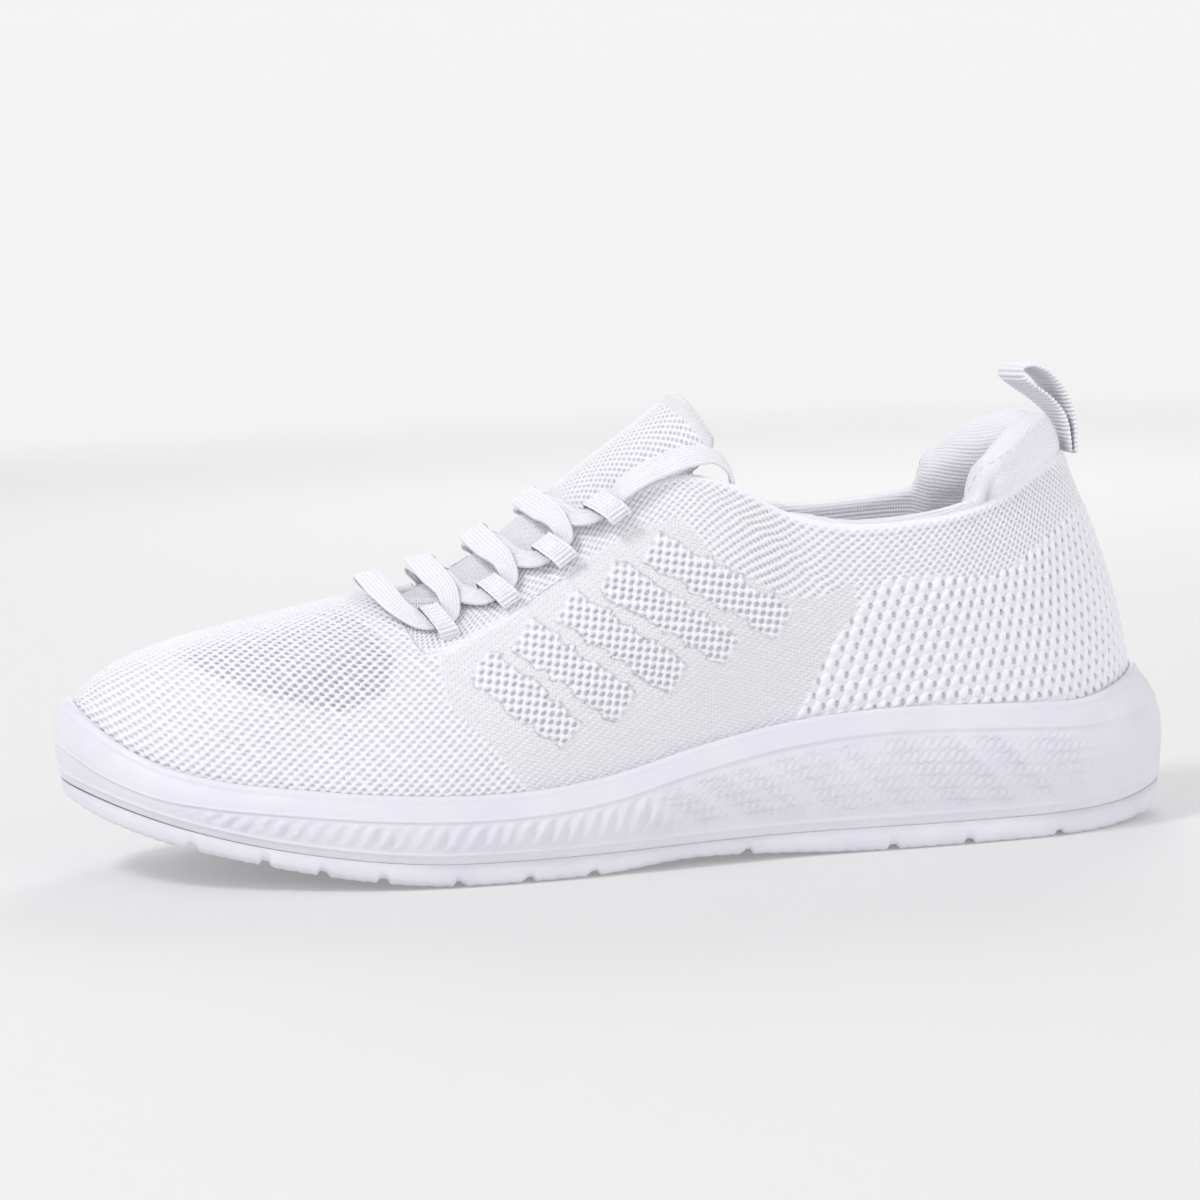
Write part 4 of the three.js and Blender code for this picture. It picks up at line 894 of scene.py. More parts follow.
def wall_relief(share, x, seam, rim):
    """Moulded side texture of the midsole: a lip under the rim, a fine line along the foot, leaning ribs at the
    forefoot, and fanned rows of dimples from the waist to the heel. Cosines of place, inside smooth masks."""
    height = seam + (rim - seam) * share
    below = rim - height
    above = height - seam
    lip_depth = through([(-151, 9.5), (-130, 7), (-100, 5), (60, 4.6), (120, 5.2), (151, 8)], x)
    lip = step(-0.35, 0.35, lip_depth - below) * 0.35
    line = 0.3 * np.exp(-((below - lip_depth) / 0.4) ** 2)
    foot = 0.3 * np.exp(-((above - 2.6) / 0.5) ** 2)
    panel = step(0.8, 2.6, below - lip_depth) * step(1.0, 3.2, above - 2.6)
    run = x + RIBS_LEAN * (rim - height)
    front = step(-128, -112, x) * (1 - step(-8, 18, x))
    ribs = np.cos(2 * np.pi * run / RIBS_PITCH + 0.7 * smooth_random(x / 9, 11))
    strength = 0.55 + 0.45 * smooth_random(x / 5 + share * 3, 12)
    ribs = front * strength * 0.7 * np.clip(ribs, -0.6, 1)
    rear = step(-14, 14, x) * (1 - step(112, 132, x))
    fan = (height - seam - 2) / np.maximum(rim - seam - 6, 3) * DIMPLE_ROWS
    wave = 0.35 * np.sin(x / 15)
    dimples = np.cos(2 * np.pi * x / DIMPLE_PITCH + np.pi * np.floor(fan + wave)) * np.cos(2 * np.pi * (fan + wave))
    uneven = 0.6 + 0.4 * smooth_random(x / 4.1 + 7 * share, 13)
    return lip + line + foot + panel * (ribs + rear * 0.5 * uneven * dimples)


def midsole_piece():
    """The cup: wall rings from the seam to the rim by the drawn profile plus the moulded relief, a half ellipse
    over the rim, and the inner wall a gap outside the knit down to the bed."""
    degrees = np.linspace(0, 360, SOLE_COLUMNS, endpoint=False)
    x = sole_line(degrees)[..., 0]
    seam, rim = through(SEAM_LINE, x), through(RIM_LINE, x)
    share = np.linspace(0, 1, SOLE_WALL_ROWS)[:, None]
    setback = through(WALL_PROFILE, share, 1) + through(WALL_PROFILE, share, 2) * rim_setback(degrees)
    top = rim - RIM_ROUND
    height = seam + (top - seam) * share
    out = outwards(degrees)
    line = sole_line(degrees)
    relief = wall_relief(share, x, seam, rim) * step(0, 0.05, share)
    wall = stacked(
        line[..., 0] - out[..., 0] * (setback - relief), line[..., 1] - out[..., 1] * (setback - relief), height)
    low = rim_share(degrees)
    inner_top = knit_point(degrees, low)
    inner = stacked(inner_top[..., 0] + out[..., 0] * GAP, inner_top[..., 1] + out[..., 1] * GAP, top)
    turn = np.linspace(0, np.pi, 11)[1:-1, None, None]
    middle, half = (wall[-1] + inner) / 2, (wall[-1] - inner) / 2
    crown = middle + half * np.cos(turn) + np.array([0, 0, RIM_RISE]) * np.sin(turn)
    cup = []
    for part in (1.0, 0.66, 0.33, 0.0):
        p = knit_point(degrees, low * part)
        cup.append(stacked(p[..., 0] + out[..., 0] * GAP, p[..., 1] + out[..., 1] * GAP,
                           np.minimum(p[..., 2], top) if part == 1.0 else p[..., 2]))
    bed = stacked(cup[-1][..., 0], cup[-1][..., 1], bed_height(x))
    rings = np.concatenate([wall, crown, np.stack(cup), bed[None]])
    return ring_solid("midsole_cup", rings, FOAM_LOOK)


TREAD_COLUMNS = 460  # along the sole
TREAD_RUNGS = 150  # across it
SEAM_GAP = 0.06  # the glued seam, pressed tight


def tread_depth(x, y):
    """Depth of the tread under the sole's face: the grooves' boxes with sloped sides, and on the lugs a low
    chevron rib pattern, a triangle wave of place along plus a share of the distance from the middle."""
    depth = np.zeros_like(x)
    for groove in CROSS_GROOVES:
        depth = np.maximum(depth, LUG_DEPTH * (1 - step(GROOVE / 2 - 0.3, GROOVE / 2 + 0.5, abs(x - groove))))
    for along_x, along_y in LENGTHWISE_GROOVES:
        beside = 1 - step(GROOVE / 2 - 0.3, GROOVE / 2 + 0.5, abs(y - along_y))
        within = 1 - step(LENGTHWISE_GROOVE_LENGTH / 2 - 0.6, LENGTHWISE_GROOVE_LENGTH / 2 + 0.6, abs(x - along_x))
        depth = np.maximum(depth, LUG_DEPTH * beside * within)
    phase = ((x + 0.6 * abs(y)) / 4.2) % 1
    chevron = 0.45 * step(0.62, 0.74, phase) * (1 - step(0.9, 1.0, phase))
    return np.maximum(depth, chevron * (1 - step(0.2, 0.6, depth)))


def slab(name, under, top, material, attributes=None):
    """A closed plate from an under and a top grid of rungs: a thick sheet whose back is the under grid."""
    rows, columns = top.shape[:2]
    grid = np.concatenate([top, under[::-1]])
    quads, corners = tube_faces(2 * rows, columns)
    ends = end_faces(np.arange(rows), 2 * rows - 1 - np.arange(rows), columns)
    full = {key: np.concatenate([value, value[::-1]]).reshape(-1, 3) for key, value in (attributes or {}).items()}
    return new_object(name, grid.reshape(-1, 3), quads, corners, material, ends, full)


def rungs(degrees, across, setback):
    """A level grid of rungs between the lateral and the medial side at the same place along the shoe."""
    lateral, medial = (set_in(d, setback(d), 0) for d in (degrees, 360 - degrees))
    share = ((1 + across) / 2)[:, None, None]
    return lateral * (1 - share) + medial * share


def outsole_piece():
    """The rubber: a grid of rungs under the sole with the tread cut in and its edge rounded by a quarter circle,
    and a level grid on top, drawn in a little at the rim."""
    degrees = np.linspace(0.6, 179.4, TREAD_COLUMNS)
    across = np.sin(np.linspace(-np.pi / 2, np.pi / 2, TREAD_RUNGS))
    top = rungs(degrees, across, lambda d: OUTSOLE_SETBACK - 0.15)
    top[..., 2] = through(SEAM_LINE, top[..., 0]) - SEAM_GAP
    under = rungs(degrees, across, lambda d: OUTSOLE_SETBACK + 0.4)
    past = np.clip((np.abs(across) - 0.94) / 0.06, 0, 1)[:, None]
    shallow = 1 - 0.5 * step(0.86, 0.97, np.abs(across))[:, None]
    under[..., 2] = through(GROUND_LINE, under[..., 0]) + tread_depth(under[..., 0], under[..., 1]) * shallow
    under[..., 2] += (1 - np.sqrt(1 - past**2)) * 2.2
    return slab("outsole_rubber", under, top, RUBBER_LOOK)


def sockliner_piece():
    """The footbed, foam and cloth in one: rungs at its height, with a fine dimpled face and rounded edges."""
    degrees = np.linspace(2, 178, 260)
    across = np.linspace(-1, 1, 90)
    depth = RIM_WALL + GAP + LINING_DEPTH + LINING + SOCKLINER_CLEAR
    grid = rungs(degrees, across, lambda d: rim_setback(d) + depth)
    bed = bed_height(sole_line(degrees)[..., 0]) + GAP + BOARD + GAP
    edge = step(0.9, 1.0, np.abs(across))[:, None] * 0.7
    dimple = 0.12 * (np.cos(2 * np.pi * grid[..., 0] / 2.4) * np.cos(2 * np.pi * grid[..., 1] / 2.4) - 1)
    top = stacked(grid[..., 0], grid[..., 1], bed + SOCK_FOAM + GAP + SOCK_CLOTH + dimple - edge)
    under = stacked(grid[..., 0], grid[..., 1], bed + 0.3 * edge)
    phases = stacked(grid[..., 0] * 2.6, grid[..., 1] * 2.6, 0.0)
    return slab("sockliner_footbed", under, top, LINING_LOOK, {"ribs": phases})


# ---------------------------------------------------------------- lining and collar

LINING_FROM, LINING_TO = 103.5, 256.5
LINING_COLUMNS = 620
LINING_ROWS = 190
LINING_BACK_STEP = 6


def lining_lines(degrees):
    """The lining's padded side for each angle: up the wall inside the knit, out by the foam's share, and over
    the collar by the drawn roll."""
    rise = through(COLLAR, fold(degrees), 1, True)
    foam = through(COLLAR, fold(degrees), 2, True)
    v = np.concatenate([np.arange(1, 11) / 14, [PAD_SHARE + (1 - PAD_SHARE) * s for s in (0.35, 0.75)]])
    columns = np.broadcast_to(degrees, (len(v), len(degrees)))
    wall = knit_point(columns, np.broadcast_to(v[:, None], columns.shape))
    dense = knit_point(np.broadcast_to(degrees, (15, len(degrees))), stacked(*[np.linspace(0, 1, 15)] * len(degrees)))
    normal = normals_of(dense)
    normal *= np.sign((normal[7, :, :2] * outwards(degrees)).sum(-1).mean())
    sunk = np.full(columns.shape, LINING_DEPTH)
    direction = np.concatenate([normal[1:11], normal[[14, 14]]])
    sunk[-2] += foam * 0.35
    sunk[-1] += foam * 0.75
    points = [*(wall - direction * sunk[..., None])]
    edge, up = dense[-1], unit(dense[-1] - dense[-2])
    shown = step(LINING_FROM, LINING_FROM + 6, fold(degrees))  # the ends start below the knit's edge, inside it
    puff = 1 + 1.5 * step(131, 138, fold(degrees)) * (1 - step(156, 170, fold(degrees)))
    for raised, inwards in COLLAR_ROLL:
        inside = KNIT + (LINING_DEPTH - KNIT + foam) * inwards
        depth = inside if inwards >= 0 else KNIT * (1 + inwards * OUTER_ROLL * puff)
        depth = np.maximum(depth, (KNIT + LINING + GAP) * (1 - shown))
        height = (LINING + rise * raised) * shown - 2.5 * (1 - shown) * (1.2 - 0.4 * raised)
        points.append(edge + up * height[:, None] - normal[-1] * depth[:, None])
    return np.stack(points)


def lining_pieces():
    """The lining as one smooth cloth: a spline up each angle's line at even arc length, moved to its visible
    side, with soft padding puckers along the collar's seam, and a back face behind it."""
    degrees = np.linspace(LINING_FROM, LINING_TO, LINING_COLUMNS)
    lines = lining_lines(degrees)
    smooth = np.stack([evenly(spline(lines[:, c], 5), LINING_ROWS) for c in range(LINING_COLUMNS)], axis=1)
    normal = normals_of(smooth)
    normal *= -np.sign(normal[30, LINING_COLUMNS // 2, 0])
    face = smooth + normal * LINING
    rib_run = run_along(face[60])
    rows_run = run_along(face)
    folded = fold(degrees)
    lobe = step(129, 135, folded)
    # Fine ribs run along the collar; the padding is quilted into soft rolls that follow it.
    ribs = np.cos(2 * np.pi * rows_run / 1.5)
    quilt = 0.5 * np.cos(2 * np.pi * rows_run / 6.5) * lobe
    from_edge = rows_run[-1] - rows_run
    relief = 0.05 * ribs + 0.12 * quilt * step(3, 9, from_edge)
    shown = face + normal * relief[..., None]
    attribute = stacked(2 * np.pi * rows_run / 1.1, 2 * np.pi * np.broadcast_to(rib_run, rows_run.shape) / 0.9, 0.0)
    piece = thick_sheet(
        "collar_and_quarter_lining", shown, face, normal, LINING, LINING_LOOK, {"ribs": attribute},
        back_step=LINING_BACK_STEP,
    )
    return piece, face, normal


# ---------------------------------------------------------------- tongue

TONGUE_ROWS, TONGUE_COLUMNS = 230, 130
TONGUE_CELL, TONGUE_CELL_ROW = 2.5, 1.2
TONGUE_WEAVE, TONGUE_WEAVE_ROW = 1.0, 0.7


def arc_section(middle, flank, reach, q):
    """Points of the arc through a middle point and both flanks: q is the share of the arc's half opening."""
    sag = flank - middle
    drop = np.linalg.norm(sag, axis=-1)
    radius = (reach**2 + drop**2) / (2 * drop)
    angle = q * np.arcsin(np.minimum(1, reach / radius))
    p = middle + unit(sag) * (radius * (1 - np.cos(angle)))[..., None]
    return stacked(p[..., 0], radius * np.sin(angle), p[..., 2])


def tongue_point(t, q):
    """The tongue's outer face: t runs from its root to its top, and q from flank to flank, -1 to 1."""
    t, q = np.broadcast_arrays(t, q)
    value = lambda k: through(TONGUE_LINE, t, k)
    return arc_section(stacked(value(1), 0, value(2)), stacked(value(3), 0, value(5)), value(4), q)


def tongue_piece():
    """The knitted tongue: arcs across its drawn lines, the knit's lattice on its face, and a flat-knitted
    binding along its top and sides, as a rounded rise of the face near its border."""
    t = np.linspace(0, 1, TONGUE_ROWS)[:, None]
    q = np.linspace(-1, 1, TONGUE_COLUMNS)[None, :]
    corner = np.clip((t - 0.9) / 0.1, 0, 1)
    face = tongue_point(t, q * (1 - 0.16 * (1 - np.sqrt(1 - 0.96 * corner**2))))
    normal = normals_of(face)
    normal *= np.sign(normal[TONGUE_ROWS // 2, TONGUE_COLUMNS // 2, 2])
    down_run = run_along(face)
    across_run = run_along(face, axis=1)
    across_run = np.abs(across_run - across_run[:, -1:] / 2)
    to_top = down_run[-1:] - down_run
    to_side = across_run[:, :1] - across_run
    wobble = 0.15 * smooth_random(down_run / 3 + across_run / 2.1, 21)
    cell_x = 2 * np.pi * (across_run + wobble) / TONGUE_CELL
    cell_y = np.pi * (down_run + wobble) / TONGUE_CELL_ROW
    cell = holes_of(cell_x, cell_y)
    free = step(0.58, 0.62, t)
    inside = step(3.2, 4.0, to_top) * step(1.5, 2.6, to_side)
    binding = 0.4 * (np.exp(-((to_top - 1.4) / 1.3) ** 2) + np.exp(-((to_side - 0.9) / 0.9) ** 2) * free)
    mask = inside * (0.35 + 0.65 * free)
    relief = mask * (0.14 - 0.5 * cell) + binding
    shown = face + normal * (relief * step(0.0, 0.8, to_top) * step(0, 0.6, to_side))[..., None]
    # The cells mask also sets the painted shade in the holes: weaker below the tongue's free top.
    attributes = {
        "cells": stacked(cell_x, cell_y, mask),
        "scales": stacked(0.0, 0.0, np.zeros_like(cell)),  # no braided stitches here
        "weave": stacked(2 * np.pi * across_run / TONGUE_WEAVE, np.pi * down_run / TONGUE_WEAVE_ROW, 1 - mask),
    }
    thinned = TONGUE * (0.3 + 0.7 * np.sqrt(1 - np.abs(q[..., None]) ** 8))
    return thick_sheet("tongue_knit", shown, face, normal, thinned, KNIT_LOOK, attributes)


# ---------------------------------------------------------------- lace and bands

LACE_STEPS = 16  # between two of the route's points
LACE_RIBS, LACE_ACROSS = 7, 57  # ribs, and points across
BAND_ALONG, BAND_ACROSS = 34, 90
RIB_PITCH = 1.25  # of the bands' and the webbing's cross ribs


def throat_point(s, q):
    """The surface that the lace lies on: arcs over the throat through the seats of the bands."""
    s, q = np.broadcast_arrays(np.asarray(s, float), np.asarray(q, float))
    crest_x = s - CREST_AHEAD
    crown = stacked(crest_x, 0, through(LACE_CREST, crest_x))
    flank = stacked(s, 0, through(SEAT_LINE, s, 2))
    return arc_section(crown, flank, through(SEAT_LINE, s, 1), q)


def throat_normal(s, q):
    """The throat surface's unit normal, upwards: the cross product of its differences."""
    ahead = throat_point(s + 0.5, q) - throat_point(s - 0.5, q)
    across = throat_point(s, q + 0.02) - throat_point(s, q - 0.02)
    normal = unit(np.cross(ahead, across))
    return normal * np.where(normal[..., 2:] < 0, -1, 1)


def crossing(n, side, height):
    """The lace from band n on one side to the next band on the other, as rows of place along, share across,
    height over the throat and width. It runs straight in the bands and turns between them."""
    start, end = BAND_SEATS[n][0], BAND_SEATS[n + 1][0]
    run = end - start
    return [
        (start, side * 1.03, LACE_UNDER, LACE_WIDTH_IN_BAND),
        (start + BAND_EXIT, side * 1.01, LACE_UNDER, LACE_WIDTH_IN_BAND),
        (start + run * 0.41, side * 0.84, height, LACE_WIDTH_TURNING),
        (start + run * 0.45, side * 0.55, height, LACE_WIDTH),
        (start + run * 0.5, 0, height, LACE_WIDTH),
        (start + run * 0.55, -side * 0.55, height, LACE_WIDTH),
        (start + run * 0.59, -side * 0.84, height, LACE_WIDTH_TURNING),
        (end - BAND_EXIT, -side * 1.01, LACE_UNDER, LACE_WIDTH_IN_BAND),
        (end, -side * 1.03, LACE_UNDER, LACE_WIDTH_IN_BAND),
    ]


def front_bar():
    """The lace's straight bar in front of the first bands, in the same rows."""
    start = BAND_SEATS[0][0]
    bar = start - BAR_AHEAD
    half = [
        (start - BAND_EXIT, 1.01, LACE_WIDTH_IN_BAND), (bar, 0.84, LACE_WIDTH_TURNING), (bar - 0.4, 0.5, LACE_WIDTH),
    ]
    near = [(s, q, LACE_UNDER, width) for s, q, width in half]
    far = [(s, -q, LACE_UNDER, width) for s, q, width in reversed(half)]
    return [*near, (bar, 0, LACE_UNDER, LACE_WIDTH), *far]


def lace_route():
    """The whole lace as rows of centre, face direction and width, in the order of the solid's."""
    def on_throat(rows):
        s, q, height, width = (np.array([row[k] for row in rows], float) for k in range(4))
        face = throat_normal(s, q)
        return np.hstack([throat_point(s, q) + face * height[:, None], face, width[:, None]])
    def tail(side):
        return np.array([
            [x, side * reach, height, face[0], side * face[1], face[2], width]
            for x, reach, height, face, width in LACE_TAIL
        ])
    rows = [
        *reversed(crossing(2, 1, LACE_UNDER)), *crossing(1, -1, LACE_OVER)[-2::-1], *crossing(0, 1, LACE_UNDER)[-2::-1],
        *front_bar(), *crossing(0, -1, LACE_OVER), *crossing(1, 1, LACE_UNDER)[1:], *crossing(2, -1, LACE_OVER)[1:],
    ]
    return np.vstack([tail(-1)[::-1], on_throat(rows), tail(1)])


def lace_piece():
    """The elastic ribbon: a spline through the route carries a flat section with rounded edges and LACE_RIBS
    lengthwise ribs, whose height is the absolute cosine of the share across."""
    rows = lace_route()
    centre = spline(rows[:, :3], LACE_STEPS)
    at = np.linspace(0, len(rows) - 1, len(centre))
    soften = np.hanning(11) / np.hanning(11).sum()
    def at_steps(values):
        return np.interp(at, np.arange(len(rows)), values)
    def softened(values):
        return np.convolve(np.pad(values, 5, mode="edge"), soften, mode="valid")
    width = softened(at_steps(rows[:, 6]))
    face = unit(np.stack([at_steps(rows[:, 3 + k]) for k in range(3)], axis=1))
    face = unit(np.stack([softened(face[:, k]) for k in range(3)], axis=1))
    along = unit(np.gradient(centre, axis=0))
    across = unit(np.cross(along, face))
    up = np.cross(across, along)
    share = np.sin(np.linspace(-np.pi / 2, np.pi / 2, LACE_ACROSS))
    half_thick = LACE / 2 * (1 - np.abs(share) ** 6) ** 0.5
    ribs = 0.26 * (np.abs(np.cos(np.pi * LACE_RIBS * share / 2)) - 0.6)
    edge = 1 - np.abs(share) ** 8
    side = centre + across * (share[:, None, None] * width[:, None] / 2)
    top, under = (side + up * (LACE / 2 + sign * (half_thick + ribs * edge))[:, None, None] for sign in (1, -1))
    phases = stacked(np.pi * LACE_RIBS * share[:, None] + np.pi, 2 * np.pi * run_along(centre) / 0.9, 0.0)
    return slab("elastic_lace", under, top, LACE_LOOK, {"ribs": phases})


def band_piece(n, side):
    """A knitted band: the drawn arch over the lace, with raised welts on both edges and cross ribs between,
    as a cosine of the run over the arch."""
    seat = BAND_SEATS[n][0]
    clear = LACE_UNDER + LACE + 2 * GAP
    arch = evenly(spline([(q, down, 0) for q, down in BAND_ARCH], 12), BAND_ACROSS)
    end = np.linspace(-1, 1, BAND_ALONG)
    s = seat + end[None, :] * BAND_LENGTH / 2
    q = side * arch[:, :1] * np.ones_like(s)
    inner = throat_point(s, q) + throat_normal(s, q) * (clear - arch[:, 1])[:, None, None]
    normal = normals_of(inner)
    normal *= np.sign((normal * throat_normal(s, q)).sum())
    face = inner + normal * BAND
    run = run_along(face[:, BAND_ALONG // 2])
    welt = step(0.6, 0.78, np.abs(end))[None, :]
    rib = np.cos(2 * np.pi * run / RIB_PITCH)[:, None]
    relief = 0.35 * welt + (1 - welt) * 0.3 * rib + welt * 0.08 * np.cos(2 * np.pi * run / 0.8)[:, None]
    fade = (step(0, 0.6, run) * step(0, 0.6, run[-1] - run))[:, None]
    shown = face + normal * (relief * fade)[..., None]
    label = "lateral" if side < 0 else "medial"
    phases = stacked(2 * np.pi * run[:, None] / RIB_PITCH + np.pi, 6 * np.pi * end, 0.0)
    piece = thick_sheet(f"lace_band_knit_{label}_{n + 1}", shown, face, normal, BAND, BAND_LOOK, {"ribs": phases})
    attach(piece, "shoe")
    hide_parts(f"lace_band_{label}_{n + 1}")


# ---------------------------------------------------------------- pull loop

LOOP_ROWS, LOOP_COLUMNS = 46, 330
LOOP_TWIST = math.radians(-16)  # of its top, seen from above


def loop_piece():
    """The webbing: a spline through the loop's line carries a flat section whose cross ribs are a cosine of the
    run, with edges scalloped by the same ribs."""
    line = evenly(spline([(x, 0, z) for x, z in LOOP_LINE], 30), LOOP_COLUMNS)
    run = run_along(line)
    along = unit(np.gradient(line, axis=0))
    out = stacked(-along[:, 2], 0 * run, along[:, 0])
    share = np.sin(np.linspace(-np.pi / 2, np.pi / 2, LOOP_ROWS))
    rib = np.cos(2 * np.pi * run / RIB_PITCH)
    half = LOOP_WIDTH / 2 + 0.16 * rib
    twist = LOOP_TWIST * step(104, 118, line[:, 2])
    edge = 1 - np.abs(share) ** 10
    thick = WEBBING / 2 * np.sqrt(1 - np.abs(share) ** 8)
    side = line + stacked(np.sin(twist), np.cos(twist), 0) * (share[:, None] * half)[..., None]
    lift = out * (thick[:, None] + edge[:, None] * 0.14 * rib)[..., None]
    phases = stacked(2 * np.pi * run / RIB_PITCH + np.pi, 14 * np.pi * share[:, None], 0.0)
    return slab("pull_loop_webbing", side - lift, side + lift, WEBBING_LOOK, {"ribs": phases})


# ---------------------------------------------------------------- stitches

STITCH, STITCH_GAP, STITCH_WIDTH = 1.9, 1.3, 0.5


def stitch_row(name, path, normal):
    """Dashes of thread along a path on a surface: each is a small closed spindle, an eight-sided section whose
    radius is the sine of the share along it, flattened against the cloth."""
    run = run_along(path)
    starts = np.arange(0.6, run[-1] - STITCH, STITCH + STITCH_GAP)
    share = np.linspace(0, 1, 7)
    turn = np.linspace(0, 2 * np.pi, 8, endpoint=False)[:, None]
    at = starts[:, None] + share * STITCH
    place = np.stack([np.interp(at, run, path[:, k]) for k in range(3)], axis=-1)
    up = unit(np.stack([np.interp(at, run, normal[:, k]) for k in range(3)], axis=-1))
    along = unit(np.gradient(place, axis=1))
    side = np.cross(along, up)
    radius = (STITCH_WIDTH / 2 * np.maximum(np.sin(np.pi * share), 0.08) ** 0.5)[:, None, None]
    lift = (0.10 + 0.06 * np.sin(np.pi * share))[:, None, None]
    ring = side[:, :, None] * np.cos(turn) * radius + up[:, :, None] * (0.6 * np.sin(turn) * radius + lift)
    points = (place[:, :, None] + ring).reshape(-1, 3)
    sides, each = len(turn), len(share) * len(turn)
    r, c = (k.ravel() for k in np.meshgrid(np.arange(len(share) - 1), np.arange(sides), indexing="ij"))
    base, spot = [], []
    for row, column in ((r, c), (r, c + 1), (r + 1, c + 1), (r + 1, c)):
        base.append(row * sides + column % sides)
        spot.append(np.stack([column / sides, row / (len(share) - 1)], axis=1))
    first = each * np.arange(len(starts))
    quads = (np.stack(base, axis=1) + first[:, None, None]).reshape(-1, 4)
    shift = stacked(np.arange(len(starts)) / len(starts), 0.0)
    corners = np.stack(spot, axis=1) / np.array([len(starts) * 1.1, 1.02]) + shift[:, None, None, :]
    corners = corners.reshape(-1, 4, 2)
    ends = []
    for k in first.tolist():
        ends.append([k + sides - 1 - j for j in range(sides)])
        ends.append([k + each - sides + j for j in range(sides)])
    return new_object(name, points, quads, corners, THREAD_LOOK, ends)


# ---------------------------------------------------------------- putting the shoe together


def dress(piece, body, slot, *nodes):
    """Puts a piece on its body, in place of the solids that it stands for; slot is not used."""
    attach(piece, body)
    if nodes:
        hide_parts(*nodes)


for piece in upper_pieces():
    dress(piece, "shoe", "knit", "knit_upper")
dress(midsole_piece(), "shoe", "midsole_foam", "midsole")
dress(outsole_piece(), "shoe", "outsole_rubber", "outsole")
dress(sockliner_piece(), "sockliner", "lining_cloth", "sockliner_cloth", "sockliner_foam")
lining, lining_face, lining_normal = lining_pieces()
dress(lining, "shoe", "lining_cloth", "quarter_lining")

STITCH_ROW_AT = 170  # row of the lining's grid that the collar's seam follows
LOBE_FROM = 131  # degrees, where the collar's lobes begin
BESIDE_LOOP = 6  # columns without a stitch on each side of the middle, under the pull loop
lobe_columns = np.nonzero(fold(np.linspace(LINING_FROM, LINING_TO, LINING_COLUMNS)) > LOBE_FROM)[0]
middle = len(lobe_columns) // 2
for label, columns in (
    ("lateral", lobe_columns[:middle - BESIDE_LOOP]), ("medial", lobe_columns[middle + BESIDE_LOOP:]),
):
    seam = (part[STITCH_ROW_AT, columns] for part in (lining_face, lining_normal))
    dress(stitch_row(f"collar_stitches_{label}", *seam), "shoe", "lining_cloth")

tongue = tongue_piece()
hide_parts("tongue_base", "tongue_tab")
tuple(tongue_point(0.6, 0.0) * MM)
tuple(tongue_point(0.74, 0.0) * MM)
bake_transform(tongue)

dress(lace_piece(), "shoe", "lace_ribbon", "lace")
for n in range(len(BAND_SEATS)):
    for side in (-1, 1):
        band_piece(n, side)

loop = loop_piece()
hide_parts("pull_loop", "pull_loop_sewn_end")
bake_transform(loop)

INNER_LOOKS = {
    "strobel_board": BOARD_LOOK, "toe_puff": BOARD_LOOK, "heel_counter": COUNTER_LOOK,
    "eyestay_tape_lateral": TAPE_LOOK, "eyestay_tape_medial": TAPE_LOOK,
    "collar_foam_lateral": SOFT_FOAM_LOOK, "collar_foam_medial": SOFT_FOAM_LOOK,
}
for name, look in INNER_LOOKS.items():
    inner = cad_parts[name]
    inner.data.materials.clear()
    inner.data.materials.append(look)

# ---------------------------------------------------------------- studio

FLOOR_REACH, COVE = 2.4, 1.2  # metres: the level floor's radius, and the cove's


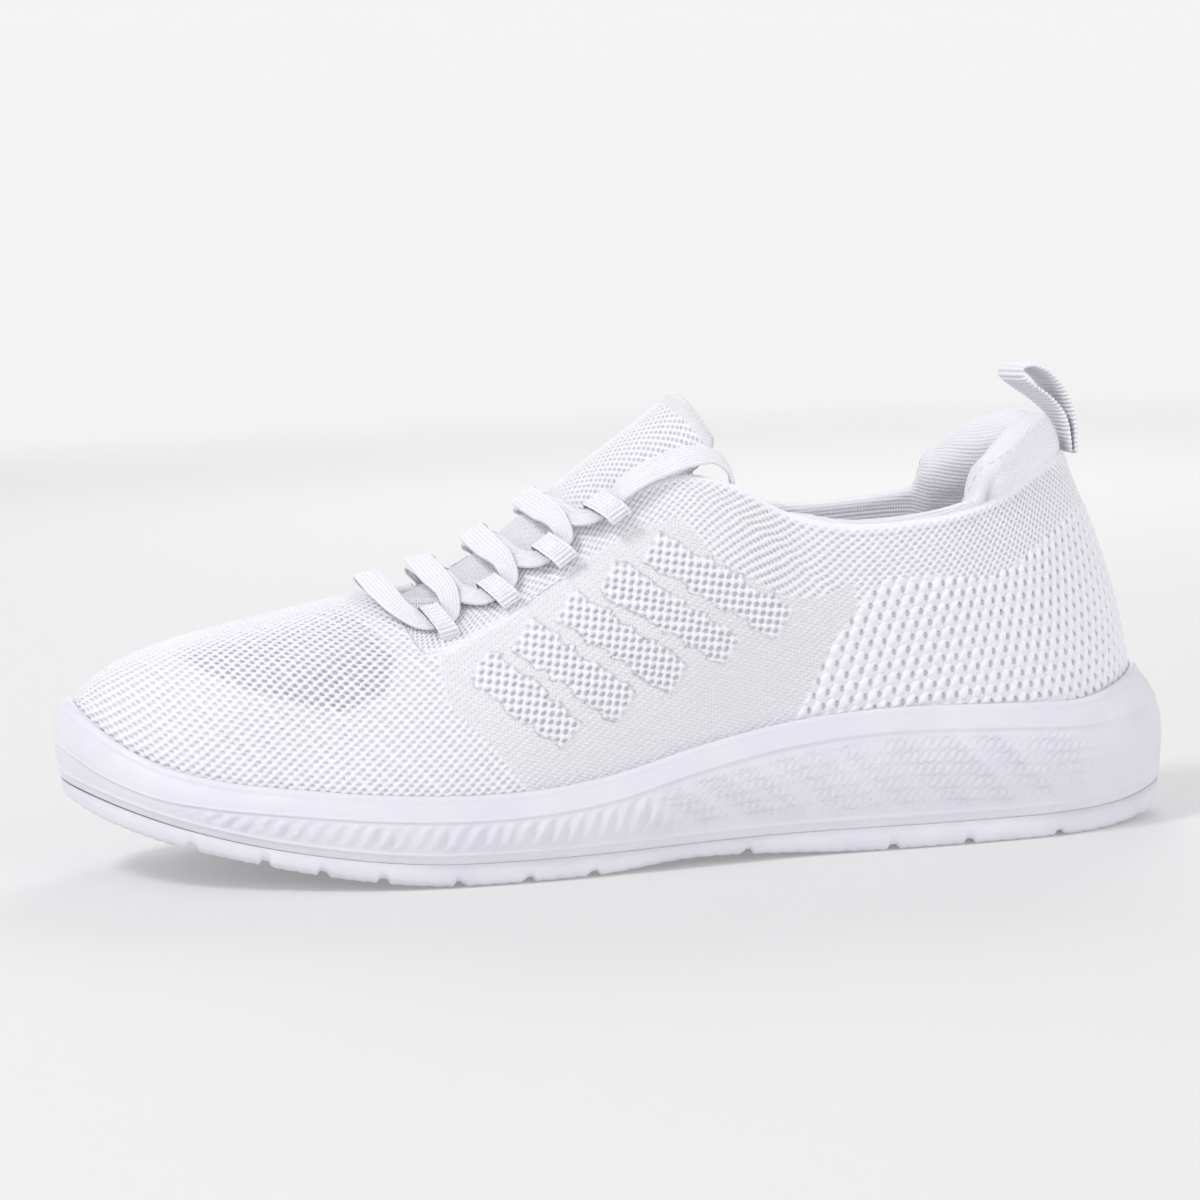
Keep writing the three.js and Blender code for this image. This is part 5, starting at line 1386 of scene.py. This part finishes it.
def studio():
    """A pale floor that curves up all round: a disc with a quarter-circle cove and an upright wall. Its paper
    glows more towards the wall, where the lamps don't reach, so that it looks even."""
    wall = FLOOR_REACH + COVE
    bend = np.linspace(0.1, np.pi / 2, 14)
    radius = np.array([0.4, 1.0, FLOOR_REACH, *(FLOOR_REACH + COVE * np.sin(bend)), wall, wall])
    height = np.array([0.0, 0.0, 0.0, *(COVE - COVE * np.cos(bend)), 2.0, 3.2])
    turn = np.linspace(0, 2 * np.pi, 96, endpoint=False)
    grid = stacked(radius[:, None] * np.cos(turn), radius[:, None] * np.sin(turn), height[:, None])
    rows, count = grid.shape[:2]
    r, c = (k.ravel() for k in np.meshgrid(np.arange(rows - 1), np.arange(count), indexing="ij"))
    corners = ((r + 1, c), (r + 1, c + 1), (r, c + 1), (r, c))
    quads = np.stack([row * count + column % count for row, column in corners], axis=1)
    mesh = bpy.data.meshes.new("studio_floor")
    mesh.from_pydata(grid.reshape(-1, 3).tolist(), [], quads.tolist() + [list(range(count))])
    mesh.polygons.foreach_set("use_smooth", np.ones(len(mesh.polygons), bool))
    material, tree, shader = new_material("lit_paper_backdrop", "cfcfcf", 0.9, 0.1)
    shader.inputs["Emission Color"].default_value = linear("ffffff")
    place = node(tree, "TexCoord", {}, "Object")
    level = node(tree, "VectorMath", {0: place, 1: (1, 1, 0)}, operation="MULTIPLY")
    reach = node(tree, "VectorMath", {0: level}, "Value", operation="LENGTH")
    glow = node(tree, "MapRange", {0: reach, 1: 1.5, 2: 2.5, 3: 0.175, 4: 0.42}, interpolation_type="SMOOTHSTEP")
    tree.links.new(glow, shader.inputs["Emission Strength"])
    mesh.materials.append(material)
    floor = bpy.data.objects.new("studio_floor", mesh)
    bpy.context.scene.collection.objects.link(floor)


def area_light(name, place, size, power):
    """A soft round lamp that looks at the shoe."""
    light = bpy.data.lights.new(name, "AREA")
    light.shape = "DISK"
    light.size = size
    light.energy = power
    lamp = bpy.data.objects.new(name, light)
    lamp.location = place
    lamp.rotation_euler = (Vector((0, 0, 0.05)) - Vector(place)).to_track_quat("-Z", "Y").to_euler()
    bpy.context.scene.collection.objects.link(lamp)


def lights():
    """A pale even sky, and three soft lamps: over the toe, in front and behind."""
    world = bpy.data.worlds.new("studio")
    bpy.context.scene.world = world
    world.use_nodes = True
    sky = world.node_tree.nodes["Background"]
    sky.inputs[0].default_value = linear("f6f7fb")
    sky.inputs[1].default_value = 0.5
    area_light("key", (-1.1, -0.5, 1.5), 0.5, 13)
    area_light("fill", (1.0, -1.7, 0.8), 1.2, 5.5)
    area_light("back", (0.5, 1.5, 1.1), 0.9, 8)


studio()
lights()
bpy.context.scene.view_settings.view_transform = "Standard"
